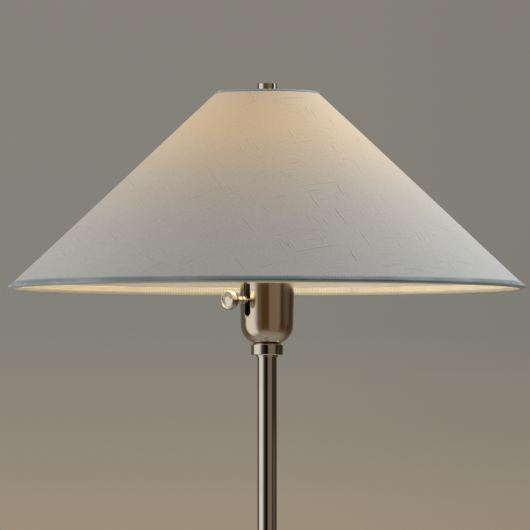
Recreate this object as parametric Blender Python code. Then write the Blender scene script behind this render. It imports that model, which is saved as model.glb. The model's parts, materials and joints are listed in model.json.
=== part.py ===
"""Height-adjustable floor lamp with a cone shade, a socket cup with a turn knob, and a round weighted base.

Frame: metres, +Z up, origin on the floor under the pole, front of the lamp towards -Y.
Every sub-part is one closed object. Heights build up from the floor, and each seat is worked out from
the piece that it carries and GAP, the clearance left between faces that touch on the real lamp.
"""

import math

import bmesh
import bpy
from mathutils import Matrix, Vector

MM = 0.001
GAP = 0.3 * MM

# Base
BASE_R = 140 * MM
FELT_R = BASE_R - 4 * MM
FELT_THICK = 2.5 * MM
BASE_SKIRT_BOTTOM = 1.0 * MM
BASE_EDGE_Z = 19.0 * MM
BASE_EDGE_FILLET = 6.0 * MM
BASE_CENTRE_Z = 24.0 * MM
BASE_CENTRE_FLAT_R = 27 * MM
COVER_WALL = 1.2 * MM
WEIGHT_SIDE_CLEARANCE = 1.5 * MM
NUT_RECESS_R = 20 * MM
NUT_RECESS_DEPTH = 10 * MM
CORD_CHANNEL_WIDTH = 14 * MM
CORD_CHANNEL_DEPTH = 12 * MM
BUSHING_Z = 8.0 * MM
BUSHING_BORE_R = 3.2 * MM
BUSHING_R = 4.6 * MM
BUSHING_LIP_R = 6.0 * MM
BUSHING_LIP_THICK = 2.0 * MM
BUSHING_LIP_CLEARANCE = 0.9 * MM
BUSHING_FLANGE_R = 6.6 * MM
BUSHING_FLANGE_THICK = 2.4 * MM

# Threaded lamp pipe, its nuts and washers
PIPE_R = 4.9 * MM
PIPE_BORE_R = 3.5 * MM
BASE_NUT_FLATS = 22 * MM
BASE_NUT_THICK = 6.0 * MM
BASE_WASHER_R = 15 * MM
BASE_WASHER_THICK = 2.0 * MM

# Pole
LOWER_POLE_R = 12.7 * MM
LOWER_POLE_WALL = 1.2 * MM
LOWER_POLE_LENGTH = 790 * MM
FOOT_PLUG_LENGTH = 24 * MM
UPPER_POLE_R = 9.6 * MM
UPPER_POLE_WALL = 1.0 * MM
VISIBLE_UPPER_POLE = 410.1 * MM
POLE_RISE = 60 * MM
GUIDE_BUSH_LENGTH = 40 * MM
GUIDE_FLANGE_THICK = 1.5 * MM
GUIDE_FLANGE_R = LOWER_POLE_R - 0.4 * MM
SLIDE_BUSH_LENGTH = 30 * MM
SLIDE_BUSH_LIP = 1.5 * MM
POLE_PLUG_LENGTH = 22 * MM

# Boss that seats the pole on the base
BOSS_R = LOWER_POLE_R + 11.3 * MM
BOSS_FLANGE_THICK = 3.5 * MM
BOSS_HEIGHT = 25 * MM
BOSS_NECK_WALL = 3.2 * MM
BOSS_BEAD = 1.4 * MM
BOSS_SEAT_DEPTH = 16 * MM

# Clamp collar and its thumb screw
CLAMP_R = LOWER_POLE_R + 4.8 * MM
CLAMP_SKIRT = 16 * MM
CLAMP_HEAD = 20 * MM
CLAMP_CHAMFER = 2.0 * MM
LOCK_SHANK_R = 2.5 * MM
LOCK_PAD_R = 2.4 * MM
LOCK_PAD_THICK = 2.2 * MM
LOCK_NECK_R = 4.2 * MM
LOCK_STANDOFF = 3.0 * MM
LOCK_KNOB_R = 9.0 * MM
LOCK_KNOB_LENGTH = 11 * MM

# Bulb: medium screw base and a pear-shaped glass
BULB_BASE_R = 13.0 * MM
BULB_BASE_WALL = 0.8 * MM
BULB_BASE_HEIGHT = 25 * MM
BULB_TIP_R = 4.6 * MM
BULB_TIP_HEIGHT = 3.5 * MM
BULB_LENGTH = 110 * MM
BULB_GLOBE_R = 30 * MM
BULB_GLASS_WALL = 0.9 * MM
BULB_NECK_INSERT = 6 * MM

# Lamp holder
HOLDER_WALL = 1.5 * MM
HOLDER_LINER_SPACE = 1.6 * MM
SCREW_SHELL_WALL = 0.6 * MM
HOLDER_R = BULB_BASE_R + GAP + SCREW_SHELL_WALL + HOLDER_LINER_SPACE + HOLDER_WALL
HOLDER_CAP_HEIGHT = 20 * MM
HOLDER_HUB_R = 8.0 * MM
HOLDER_HUB_HEIGHT = 4.5 * MM
HOLDER_SHELL_HEIGHT = 50 * MM
SWITCH_BLOCK_HEIGHT = 22 * MM
SHELL_WINDOW_R = 3.0 * MM
SCREW_SHELL_HEIGHT = 24 * MM
CONTACT_WIDTH = 5.0 * MM
CONTACT_THICK = 0.6 * MM
CONTACT_RISE = 2.2 * MM
TERMINAL_X = 8.0 * MM
TERMINAL_HEAD_R = 2.4 * MM
TERMINAL_HEAD_THICK = 2.0 * MM

# Harp legs, which stand between the holder and the cup
HARP_WIRE_R = 1.6 * MM
FERRULE_R = 3.4 * MM
FERRULE_HOLDER_CLEARANCE = 1.1 * MM
HARP_LEG_X = HOLDER_R + FERRULE_HOLDER_CLEARANCE + FERRULE_R

# Neck collar and socket cup
NECK_R = UPPER_POLE_R + 6.2 * MM
NECK_HEIGHT = 12.4 * MM
NECK_STEP_R = UPPER_POLE_R + 1.2 * MM
NECK_STEP_HEIGHT = 1.8 * MM
NECK_CHAMFER = 0.7 * MM
NECK_SEAT_DEPTH = 4.0 * MM
CUP_WALL = 1.2 * MM
SADDLE_CUP_CLEARANCE = 2.4 * MM
CUP_R = HARP_LEG_X + HARP_WIRE_R + SADDLE_CUP_CLEARANCE + CUP_WALL
CUP_FLAT_R = 8.1 * MM
CUP_CORNER_R = CUP_R - CUP_FLAT_R
CUP_HEIGHT = 59.0 * MM
CUP_LIP_ROUND = 0.5 * MM
SLOT_WIDTH = 8.8 * MM
SLOT_LENGTH = 31.0 * MM
KNOB_AXIS_HEIGHT = 42.3 * MM
KNOB_AZIMUTH = math.radians(221.5)

# Harp saddle and fixings in the cup
SADDLE_THICK = 1.5 * MM
SADDLE_WIDTH = 12.0 * MM
SADDLE_BEND_R = CUP_CORNER_R - 1.7 * MM
SADDLE_ARM_HEIGHT = 34 * MM
SADDLE_POST_OVERLAP = 14 * MM
SADDLE_POST_TOP_ABOVE_CUP = 11 * MM
CUP_WASHER_R = CUP_FLAT_R - 0.1 * MM
CUP_WASHER_THICK = 1.0 * MM
CUP_NUT_FLATS = 14 * MM
CUP_NUT_THICK = 4.0 * MM

# Switch shaft and turn knob, radii about their own axis and reaches from the lamp's axis
SHAFT_R = 2.2 * MM
SHAFT_INNER_REACH = 5.0 * MM
KNOB_BEAD_R = 3.7 * MM
KNOB_BEAD_REACH = CUP_R + 4.4 * MM
KNOB_BEAD_LENGTH = 6.5 * MM
KNOB_NECK_R = 2.1 * MM
KNOB_NECK_LENGTH = 5.0 * MM
KNOB_R = 9.5 * MM
KNOB_RIM_THICK = 4.2 * MM
KNOB_FACE_REACH = CUP_R + 25.6 * MM
KNOB_FACE_RECESS = 0.9 * MM
KNOB_THREAD_DEPTH = 5.0 * MM

# Harp bow, stud and ferrules
FERRULE_LENGTH = 12 * MM
BOW_STRAIGHT = 16 * MM
BOW_HALF_WIDTH = 60 * MM
BOW_WIDEST_SHARE = 0.55
BOW_FLARE = 0.5
BOW_SHOULDER = 0.62
STUD_R = 3.0 * MM
STUD_HUB_R = 5.5 * MM
STUD_HUB_HEIGHT = 9.0 * MM
STUD_SEAT_R = 8.0 * MM
STUD_SEAT_THICK = 2.0 * MM
STUD_LENGTH = 11.5 * MM

# Shade
RIM_BELOW_CUP_LIP = 3.2 * MM
SHADE_BOTTOM_R = 253.0 * MM
SHADE_TOP_R = 50.2 * MM
SHADE_HEIGHT = 190.5 * MM
SKIN_WALL = 1.2 * MM
RING_WIRE_R = 1.5 * MM
RING_EDGE_INSET = 2.0 * MM
TRIM_THICK = 0.6 * MM
HEM_WIDTH = 9.5 * MM
TOP_TRIM_WIDTH = 3.2 * MM
TOP_TRIM_TURN_IN = 1.4 * MM
SPIDER_DROP = 12 * MM
SPIDER_WASHER_R = 13 * MM
SPIDER_WASHER_THICK = 1.6 * MM
SPIDER_ARM_R = 1.5 * MM
SPIDER_ARM_FLAT = 28 * MM
SPIDER_ARMS = 3
SPIDER_FIRST_ARM = math.radians(-90)

# Finial
FINIAL_R = 9.75 * MM
FINIAL_RISE = 9.5 * MM
FINIAL_DRUM_HEIGHT = 13.5 * MM
FINIAL_FOOT_R = 7.0 * MM
FINIAL_NECK_R = 5.2 * MM
FINIAL_BORE_DEPTH = 12 * MM
FINIAL_EDGE = 0.8 * MM

SHADE_SEGMENTS = 36
BASE_SEGMENTS = 36
ROUND_SEGMENTS = 24
SMALL_SEGMENTS = 16
WIRE_SIDES = 8

# Heights that the pieces stack up to
WEIGHT_BOTTOM = FELT_THICK + GAP
BOSS_BOTTOM = BASE_CENTRE_Z + GAP
LOWER_POLE_BOTTOM = BOSS_BOTTOM + BOSS_HEIGHT - BOSS_SEAT_DEPTH
LOWER_POLE_TOP = LOWER_POLE_BOTTOM + LOWER_POLE_LENGTH
CLAMP_SHOULDER = LOWER_POLE_TOP + GUIDE_FLANGE_THICK + 2 * GAP
CLAMP_TOP = CLAMP_SHOULDER + CLAMP_HEAD
LOCK_AXIS_Z = CLAMP_SHOULDER + CLAMP_HEAD / 2
NECK_BOTTOM = CLAMP_TOP + VISIBLE_UPPER_POLE
CUP_BOTTOM = NECK_BOTTOM + NECK_HEIGHT + GAP
CUP_LIP_Z = CUP_BOTTOM + CUP_HEIGHT
KNOB_AXIS_Z = CUP_BOTTOM + KNOB_AXIS_HEIGHT
UPPER_POLE_TOP = NECK_BOTTOM + NECK_SEAT_DEPTH - GAP
UPPER_POLE_BOTTOM = LOWER_POLE_TOP - GUIDE_BUSH_LENGTH - POLE_RISE - SLIDE_BUSH_LENGTH
SADDLE_BOTTOM = CUP_BOTTOM + CUP_WALL + GAP
CUP_WASHER_BOTTOM = SADDLE_BOTTOM + SADDLE_THICK + GAP
CUP_NUT_BOTTOM = CUP_WASHER_BOTTOM + CUP_WASHER_THICK + GAP
HOLDER_BOTTOM = CUP_NUT_BOTTOM + CUP_NUT_THICK + GAP
HOLDER_SHELL_BOTTOM = HOLDER_BOTTOM + HOLDER_CAP_HEIGHT + GAP
SWITCH_BLOCK_BOTTOM = HOLDER_SHELL_BOTTOM + GAP
SWITCH_BLOCK_TOP = SWITCH_BLOCK_BOTTOM + SWITCH_BLOCK_HEIGHT
CONTACT_TOP = SWITCH_BLOCK_TOP + GAP + CONTACT_RISE
BULB_BOTTOM = CONTACT_TOP + GAP
POST_TOP = CUP_LIP_Z + SADDLE_POST_TOP_ABOVE_CUP
RIM_Z = CUP_LIP_Z - RIM_BELOW_CUP_LIP
SHADE_TOP_Z = RIM_Z + SHADE_HEIGHT

# Unit vectors of the shade's wall, in (radius, height): up the slope, and out of the cloth side
SLANT = math.hypot(SHADE_BOTTOM_R - SHADE_TOP_R, SHADE_HEIGHT)
UP_WALL = Vector((SHADE_TOP_R - SHADE_BOTTOM_R, SHADE_HEIGHT)) / SLANT
OUT_OF_WALL = Vector((UP_WALL.y, -UP_WALL.x))


def material(name, colour, roughness, metallic):
    """A plain Principled material."""
    made = bpy.data.materials.new(name)
    made.use_nodes = True
    shader = made.node_tree.nodes["Principled BSDF"]
    shader.inputs["Base Color"].default_value = (*colour, 1.0)
    shader.inputs["Roughness"].default_value = roughness
    shader.inputs["Metallic"].default_value = metallic
    made.diffuse_color = (*colour, 1.0)
    return made


def place(name, mesh, finish, location=(0, 0, 0), rotation=(0, 0, 0), parent=None):
    """An object of this mesh, linked to the scene, with its material."""
    made = bpy.data.objects.new(name, mesh)
    made.location = location
    made.rotation_euler = rotation
    made.parent = parent
    if finish is not None:
        mesh.materials.append(finish)
    bpy.context.scene.collection.objects.link(made)
    return made


def finished_mesh(name, built, smooth_angle=40):
    """The bmesh as a mesh with its faces pointing out and its round stretches shaded smooth."""
    bmesh.ops.recalc_face_normals(built, faces=built.faces)
    mesh = bpy.data.meshes.new(name)
    built.to_mesh(mesh)
    built.free()
    mesh.shade_smooth()
    mesh.set_sharp_from_angle(angle=math.radians(smooth_angle))
    return mesh


def turned_mesh(name, profile, segments):
    """The profile, (radius, height) points, turned round Z. It ends on the axis, or it is a closed loop."""
    built = bmesh.new()
    points = [built.verts.new((radius, 0, height)) for radius, height in profile]
    edges = [built.edges.new(pair) for pair in zip(points, points[1:])]
    if profile[0][0] > 0 or profile[-1][0] > 0:
        edges.append(built.edges.new((points[-1], points[0])))
    bmesh.ops.spin(
        built, geom=points + edges, axis=(0, 0, 1), cent=(0, 0, 0),
        steps=segments, angle=math.tau, use_merge=False,
    )
    bmesh.ops.remove_doubles(built, verts=built.verts, dist=1e-6)
    return finished_mesh(name, built)


def turned(name, profile, finish, location=(0, 0, 0), rotation=(0, 0, 0), parent=None,
           segments=ROUND_SEGMENTS):
    return place(name, turned_mesh(name, profile, segments), finish, location, rotation, parent)


def arc(centre, radius, start, end, steps):
    """Points of an arc in the profile's plane, from start to end in degrees."""
    angles = [math.radians(start + (end - start) * i / steps) for i in range(steps + 1)]
    return [(centre[0] + radius * math.cos(a), centre[1] + radius * math.sin(a)) for a in angles]


def sleeve(inner, outer, bottom, top, chamfer=0.0):
    """A tube's closed profile, with its outer edges chamfered."""
    if chamfer == 0:
        return [(inner, bottom), (outer, bottom), (outer, top), (inner, top)]
    return [
        (inner, bottom), (outer - chamfer, bottom), (outer, bottom + chamfer),
        (outer, top - chamfer), (outer - chamfer, top), (inner, top),
    ]


def prism_mesh(name, outline, depth):
    """An outline in the XZ plane, extruded evenly to both sides along Y."""
    built = bmesh.new()
    face = built.faces.new([built.verts.new((x, -depth / 2, z)) for x, z in outline])
    grown = bmesh.ops.extrude_face_region(built, geom=[face])
    moved = [item for item in grown["geom"] if isinstance(item, bmesh.types.BMVert)]
    bmesh.ops.translate(built, verts=moved, vec=(0, depth, 0))
    return finished_mesh(name, built)


def rod_mesh(name, start, end, radius, sides):
    """A straight round rod between two points."""
    start, end = Vector(start), Vector(end)
    along = end - start
    turn = along.to_track_quat("Z", "Y").to_matrix().to_4x4()
    built = bmesh.new()
    bmesh.ops.create_cone(
        built, cap_ends=True, segments=sides, radius1=radius, radius2=radius, depth=along.length,
        matrix=Matrix.Translation((start + end) / 2) @ turn,
    )
    return finished_mesh(name, built)


def wire_mesh(name, points, radius):
    """A bent round wire: a curve with a bevel and filled caps, as a mesh."""
    curve = bpy.data.curves.new(name, "CURVE")
    curve.dimensions = "3D"
    curve.bevel_depth = radius
    curve.bevel_resolution = WIRE_SIDES // 2 - 2
    curve.use_fill_caps = True
    spline = curve.splines.new("POLY")
    spline.points.add(len(points) - 1)
    for point, place_at in zip(spline.points, points):
        point.co = (*place_at, 1.0)
    guide = bpy.data.objects.new(name, curve)
    bpy.context.scene.collection.objects.link(guide)
    bpy.context.view_layer.update()
    evaluated = guide.evaluated_get(bpy.context.evaluated_depsgraph_get())
    mesh = bpy.data.meshes.new_from_object(evaluated)
    bpy.data.objects.remove(guide)
    built = bmesh.new()
    built.from_mesh(mesh)
    bmesh.ops.remove_doubles(built, verts=built.verts, dist=1e-6)
    bpy.data.meshes.remove(mesh)
    return finished_mesh(name, built)


def tool(name, mesh, location=(0, 0, 0), rotation=(0, 0, 0)):
    """A helper that a Boolean reads, left out of the model itself."""
    made = place(name, mesh, None, location, rotation)
    made.hide_render = True
    made.display_type = "WIRE"
    return made


def combine(target, helper, operation):
    modifier = target.modifiers.new(helper.name, "BOOLEAN")
    modifier.operation = operation
    modifier.object = helper


def hexagon_nut(name, flats, thick, bore, finish, bottom):
    """A hexagon nut with a plain bore, lying flat at this height."""
    nut = place(name, turned_mesh(name, [(0, 0), (flats / math.sqrt(3), 0),
                                         (flats / math.sqrt(3), thick), (0, thick)], 6), finish)
    nut.location.z = bottom
    hole = rod_mesh(name + "_bore", (0, 0, bottom - thick), (0, 0, bottom + 2 * thick), bore,
                    SMALL_SEGMENTS)
    combine(nut, tool(name + "_bore", hole), "DIFFERENCE")
    return nut


def bezier(start, first, second, end, steps):
    """Points of a cubic curve with these two handles, from the one after its start to its end."""
    curve = []
    for i in range(1, steps + 1):
        t = i / steps
        curve.append(start * (1 - t) ** 3 + first * 3 * (1 - t) ** 2 * t
                     + second * 3 * (1 - t) * t ** 2 + end * t ** 3)
    return curve


def on_wall(edge, up, out):
    """(radius, height) of a point this far up the shade's slope and out of its cloth, from an edge point."""
    point = Vector(edge) + UP_WALL * up + OUT_OF_WALL * out
    return (point.x, point.y)


def clear_scene():
    for item in list(bpy.data.objects):
        bpy.data.objects.remove(item)


def make_finishes():
    return {
        "nickel": material("polished_nickel", (0.78, 0.74, 0.68), 0.08, 1.0),
        "satin": material("satin_nickel", (0.66, 0.61, 0.54), 0.28, 1.0),
        "brass": material("brass", (0.72, 0.55, 0.28), 0.3, 1.0),
        "steel": material("zinc_steel", (0.6, 0.6, 0.6), 0.4, 1.0),
        "iron": material("cast_iron", (0.05, 0.05, 0.05), 0.8, 0.6),
        "linen": material("linen", (0.82, 0.79, 0.74), 0.9, 0.0),
        "felt": material("felt", (0.05, 0.05, 0.05), 1.0, 0.0),
        "phenolic": material("phenolic", (0.02, 0.02, 0.02), 0.35, 0.0),
        "nylon": material("nylon", (0.75, 0.74, 0.7), 0.5, 0.0),
        "glass": material("frosted_glass", (0.95, 0.93, 0.88), 0.4, 0.0),
    }


def cover_outline(inset):
    """The base cover's outer profile from skirt to centre, moved inwards by inset."""
    slope = (BASE_CENTRE_Z - BASE_EDGE_Z) / (BASE_R - BASE_EDGE_FILLET - BASE_CENTRE_FLAT_R)
    fillet = BASE_EDGE_FILLET - inset
    centre = (BASE_R - BASE_EDGE_FILLET, BASE_EDGE_Z - BASE_EDGE_FILLET)
    crown = math.degrees(math.atan2(1, slope))
    flat_z = BASE_CENTRE_Z - inset
    return [*arc(centre, fillet, 0, crown, 3), (BASE_CENTRE_FLAT_R, flat_z)]


def build_base(finish):
    turned("felt_pad", [(0, 0), (FELT_R, 0), (FELT_R, FELT_THICK), (0, FELT_THICK)], finish["felt"],
           segments=BASE_SEGMENTS)

    hole = PIPE_R + GAP
    outside = [(BASE_R, BASE_SKIRT_BOTTOM), *cover_outline(0), (hole, BASE_CENTRE_Z)]
    inside = [(BASE_R - COVER_WALL, BASE_SKIRT_BOTTOM), *cover_outline(COVER_WALL),
              (hole, BASE_CENTRE_Z - COVER_WALL)]
    cover = turned("base_cover", outside + inside[::-1], finish["nickel"], segments=BASE_SEGMENTS)
    bushing_hole = rod_mesh("bushing_hole", (0, BASE_R - 4 * COVER_WALL, BUSHING_Z),
                            (0, BASE_R + 4 * COVER_WALL, BUSHING_Z), BUSHING_R + GAP, SMALL_SEGMENTS)
    combine(cover, tool("bushing_hole", bushing_hole), "DIFFERENCE")

    weight_r = BASE_R - COVER_WALL - WEIGHT_SIDE_CLEARANCE
    recess_z = WEIGHT_BOTTOM + NUT_RECESS_DEPTH
    crown = [(min(r, weight_r), z) for r, z in cover_outline(COVER_WALL + GAP)]
    weight = turned("base_weight", [
        (hole, recess_z), (NUT_RECESS_R, recess_z), (NUT_RECESS_R, WEIGHT_BOTTOM),
        (weight_r, WEIGHT_BOTTOM), (weight_r, crown[0][1]), *crown[2:],
        (hole, BASE_CENTRE_Z - COVER_WALL - GAP)], finish["iron"], segments=BASE_SEGMENTS)
    channel = tool("cord_channel", prism_mesh("cord_channel", [
        (-CORD_CHANNEL_WIDTH / 2, -WEIGHT_BOTTOM), (CORD_CHANNEL_WIDTH / 2, -WEIGHT_BOTTOM),
        (CORD_CHANNEL_WIDTH / 2, CORD_CHANNEL_DEPTH), (-CORD_CHANNEL_WIDTH / 2, CORD_CHANNEL_DEPTH),
    ], BASE_R), location=(0, BASE_R / 2 + NUT_RECESS_R / 2, WEIGHT_BOTTOM))
    combine(weight, channel, "DIFFERENCE")

    lip = BASE_R - COVER_WALL - BUSHING_LIP_CLEARANCE
    bushing = [
        (BUSHING_BORE_R, BASE_R + GAP + BUSHING_FLANGE_THICK),
        (BUSHING_BORE_R, lip - BUSHING_LIP_THICK), (BUSHING_R, lip - BUSHING_LIP_THICK),
        (BUSHING_LIP_R, lip - BUSHING_LIP_THICK / 2), (BUSHING_LIP_R, lip),
        (BUSHING_R, lip), (BUSHING_R, BASE_R + GAP), (BUSHING_FLANGE_R, BASE_R + GAP),
        (BUSHING_FLANGE_R, BASE_R + GAP + BUSHING_FLANGE_THICK / 2),
        (BUSHING_BORE_R + (BUSHING_FLANGE_R - BUSHING_BORE_R) / 2, BASE_R + GAP + BUSHING_FLANGE_THICK),
    ]
    turned("cord_bushing", bushing, finish["phenolic"], (0, 0, BUSHING_Z), (math.radians(-90), 0, 0),
           segments=SMALL_SEGMENTS)

    washer_top = recess_z - GAP
    nut_top = washer_top - BASE_WASHER_THICK - GAP
    turned("base_washer", sleeve(PIPE_R + GAP, BASE_WASHER_R, washer_top - BASE_WASHER_THICK,
                                 washer_top), finish["steel"], segments=SMALL_SEGMENTS)
    hexagon_nut("base_nut", BASE_NUT_FLATS, BASE_NUT_THICK - GAP, PIPE_R + GAP, finish["brass"],
                nut_top - BASE_NUT_THICK + GAP)


def build_lower_pole(finish):
    hole = PIPE_R + GAP
    neck_r = LOWER_POLE_R + GAP + BOSS_NECK_WALL
    seat_r = LOWER_POLE_R + GAP
    seat_z = LOWER_POLE_BOTTOM - GAP
    boss_top = BOSS_BOTTOM + BOSS_HEIGHT
    flange_top = BOSS_BOTTOM + BOSS_FLANGE_THICK
    cove = BOSS_R - BOSS_BEAD - neck_r
    boss = [
        (hole, BOSS_BOTTOM), (BOSS_R - BOSS_BEAD, BOSS_BOTTOM),
        *arc((BOSS_R - BOSS_BEAD, BOSS_BOTTOM + BOSS_FLANGE_THICK / 2),
             BOSS_FLANGE_THICK / 2, -60, 90, 3),
        *arc((BOSS_R - BOSS_BEAD, flange_top + cove), cove, 265, 180, 3),
        (neck_r, boss_top - 5 * BOSS_BEAD),
        *arc((neck_r, boss_top - 3 * BOSS_BEAD), BOSS_BEAD, -90, 90, 3),
        (neck_r, boss_top - BOSS_BEAD), (neck_r - BOSS_BEAD, boss_top),
        (seat_r, boss_top), (seat_r, seat_z), (hole, seat_z),
    ]
    turned("base_boss", boss, finish["nickel"])
    turned("foot_plug", sleeve(hole, LOWER_POLE_R - LOWER_POLE_WALL - GAP, LOWER_POLE_BOTTOM,
                               LOWER_POLE_BOTTOM + FOOT_PLUG_LENGTH), finish["brass"],
           segments=ROUND_SEGMENTS)
    turned("base_pipe", sleeve(PIPE_BORE_R, PIPE_R, WEIGHT_BOTTOM + GAP,
                               LOWER_POLE_BOTTOM + FOOT_PLUG_LENGTH * 0.8), finish["steel"],
           segments=SMALL_SEGMENTS)
    turned("lower_pole", sleeve(LOWER_POLE_R - LOWER_POLE_WALL, LOWER_POLE_R, LOWER_POLE_BOTTOM,
                                LOWER_POLE_TOP), finish["nickel"])


def build_clamp(finish):
    """The collar on top of the lower pole, the bush that guides the upper pole, and the thumb screw."""
    bore = UPPER_POLE_R + GAP
    skirt = LOWER_POLE_R + GAP
    bottom = LOWER_POLE_TOP - CLAMP_SKIRT
    collar = turned("clamp_collar", [
        (skirt, bottom), (CLAMP_R - CLAMP_CHAMFER, bottom),
        (CLAMP_R, bottom + CLAMP_CHAMFER), (CLAMP_R, CLAMP_TOP - 2 * CLAMP_CHAMFER),
        (CLAMP_R - CLAMP_CHAMFER / 2, CLAMP_TOP - CLAMP_CHAMFER),
        (CLAMP_R - 2 * CLAMP_CHAMFER, CLAMP_TOP),
        (bore, CLAMP_TOP), (bore, CLAMP_SHOULDER), (skirt, CLAMP_SHOULDER)], finish["nickel"])
    hole = rod_mesh("lock_hole", (0, 0, LOCK_AXIS_Z), (2 * CLAMP_R, 0, LOCK_AXIS_Z),
                    LOCK_SHANK_R + GAP, SMALL_SEGMENTS)
    combine(collar, tool("lock_hole", hole), "DIFFERENCE")

    turned("guide_bush", [
        (bore, LOWER_POLE_TOP - GUIDE_BUSH_LENGTH),
        (LOWER_POLE_R - LOWER_POLE_WALL - GAP, LOWER_POLE_TOP - GUIDE_BUSH_LENGTH),
        (LOWER_POLE_R - LOWER_POLE_WALL - GAP, LOWER_POLE_TOP + GAP),
        (GUIDE_FLANGE_R, LOWER_POLE_TOP + GAP),
        (GUIDE_FLANGE_R, LOWER_POLE_TOP + GAP + GUIDE_FLANGE_THICK),
        (bore, LOWER_POLE_TOP + GAP + GUIDE_FLANGE_THICK)], finish["nylon"])

    axis = bpy.data.objects.new("lock_axis", None)
    axis.location = (0, 0, LOCK_AXIS_Z)
    axis.rotation_euler = (0, math.radians(90), 0)
    bpy.context.scene.collection.objects.link(axis)
    pad_end = bore + LOCK_PAD_THICK
    turned("lock_pad", [(0, bore), (LOCK_PAD_R, bore), (LOCK_PAD_R, pad_end), (0, pad_end)],
           finish["brass"], parent=axis, segments=SMALL_SEGMENTS)
    shank = pad_end + GAP
    neck = CLAMP_R + LOCK_STANDOFF
    knob_end = neck + LOCK_KNOB_LENGTH
    edge = LOCK_NECK_R / 3
    turned("lock_screw", [
        (0, shank), (LOCK_SHANK_R, shank), (LOCK_SHANK_R, CLAMP_R + LOCK_STANDOFF / 3),
        (LOCK_NECK_R, CLAMP_R + LOCK_STANDOFF / 3), (LOCK_NECK_R, neck),
        (LOCK_KNOB_R - edge, neck + edge), (LOCK_KNOB_R, neck + 2 * edge),
        (LOCK_KNOB_R, knob_end - edge), (LOCK_KNOB_R - edge, knob_end), (0, knob_end)],
        finish["nickel"], parent=axis)


def build_upper_pole(finish):
    inner = UPPER_POLE_R - UPPER_POLE_WALL
    turned("upper_pole", sleeve(inner, UPPER_POLE_R, UPPER_POLE_BOTTOM, UPPER_POLE_TOP),
           finish["nickel"])
    slide_r = LOWER_POLE_R - LOWER_POLE_WALL - GAP
    lip_top = UPPER_POLE_BOTTOM - GAP
    turned("slide_bush", [
        (inner, lip_top - SLIDE_BUSH_LIP), (slide_r, lip_top - SLIDE_BUSH_LIP),
        (slide_r, UPPER_POLE_BOTTOM + SLIDE_BUSH_LENGTH),
        (UPPER_POLE_R + GAP, UPPER_POLE_BOTTOM + SLIDE_BUSH_LENGTH),
        (UPPER_POLE_R + GAP, lip_top), (inner, lip_top)], finish["nylon"])
    turned("pole_plug", sleeve(PIPE_R + GAP, inner - GAP, UPPER_POLE_TOP - POLE_PLUG_LENGTH,
                               UPPER_POLE_TOP), finish["brass"])
    turned("cup_pipe", sleeve(PIPE_BORE_R, PIPE_R, UPPER_POLE_TOP - POLE_PLUG_LENGTH * 0.8,
                              HOLDER_BOTTOM + 2 * HOLDER_HUB_HEIGHT), finish["steel"],
           segments=SMALL_SEGMENTS)


def cup_outline(inset):
    """The cup's outer profile from the edge of its flat bottom to its lip, moved inwards by inset."""
    centre = (CUP_R - CUP_CORNER_R, CUP_BOTTOM + CUP_CORNER_R)
    return arc(centre, CUP_CORNER_R - inset, -90, 0, 6)


def build_cup(finish):
    """The neck collar and the socket cup, whose slot lets the switch shaft drop in from above."""
    hole = PIPE_R + GAP
    seat_r = UPPER_POLE_R + GAP
    top = NECK_BOTTOM + NECK_HEIGHT
    step_top = NECK_BOTTOM + NECK_STEP_HEIGHT
    turned("neck_collar", [
        (seat_r, NECK_BOTTOM), (NECK_STEP_R, NECK_BOTTOM), (NECK_STEP_R, step_top),
        (NECK_R - NECK_CHAMFER, step_top), (NECK_R, step_top + NECK_CHAMFER), (NECK_R, top - NECK_CHAMFER),
        (NECK_R - NECK_CHAMFER, top), (hole, top), (hole, NECK_BOTTOM + NECK_SEAT_DEPTH),
        (seat_r, NECK_BOTTOM + NECK_SEAT_DEPTH)], finish["nickel"])

    outside = [(hole, CUP_BOTTOM), *cup_outline(0), (CUP_R, CUP_LIP_Z - CUP_LIP_ROUND),
               (CUP_R - CUP_LIP_ROUND, CUP_LIP_Z)]
    inside = [(hole, CUP_BOTTOM + CUP_WALL), *cup_outline(CUP_WALL), (CUP_R - CUP_WALL, CUP_LIP_Z)]
    cup = turned("socket_cup", outside + inside[::-1], finish["satin"], segments=ROUND_SEGMENTS)
    slot_r = SLOT_WIDTH / 2
    slot_bottom = CUP_LIP_Z - SLOT_LENGTH
    outline = [(slot_r, 2 * SLOT_LENGTH), (-slot_r, 2 * SLOT_LENGTH),
               *arc((0, slot_r), slot_r, 180, 360, 8)]
    slot = prism_mesh("cup_slot", outline, CUP_R)
    out = Vector((math.cos(KNOB_AZIMUTH), math.sin(KNOB_AZIMUTH), 0))
    combine(cup, tool("cup_slot", slot, out * CUP_R + Vector((0, 0, slot_bottom)),
                      (0, 0, KNOB_AZIMUTH + math.radians(90))), "DIFFERENCE")


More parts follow.
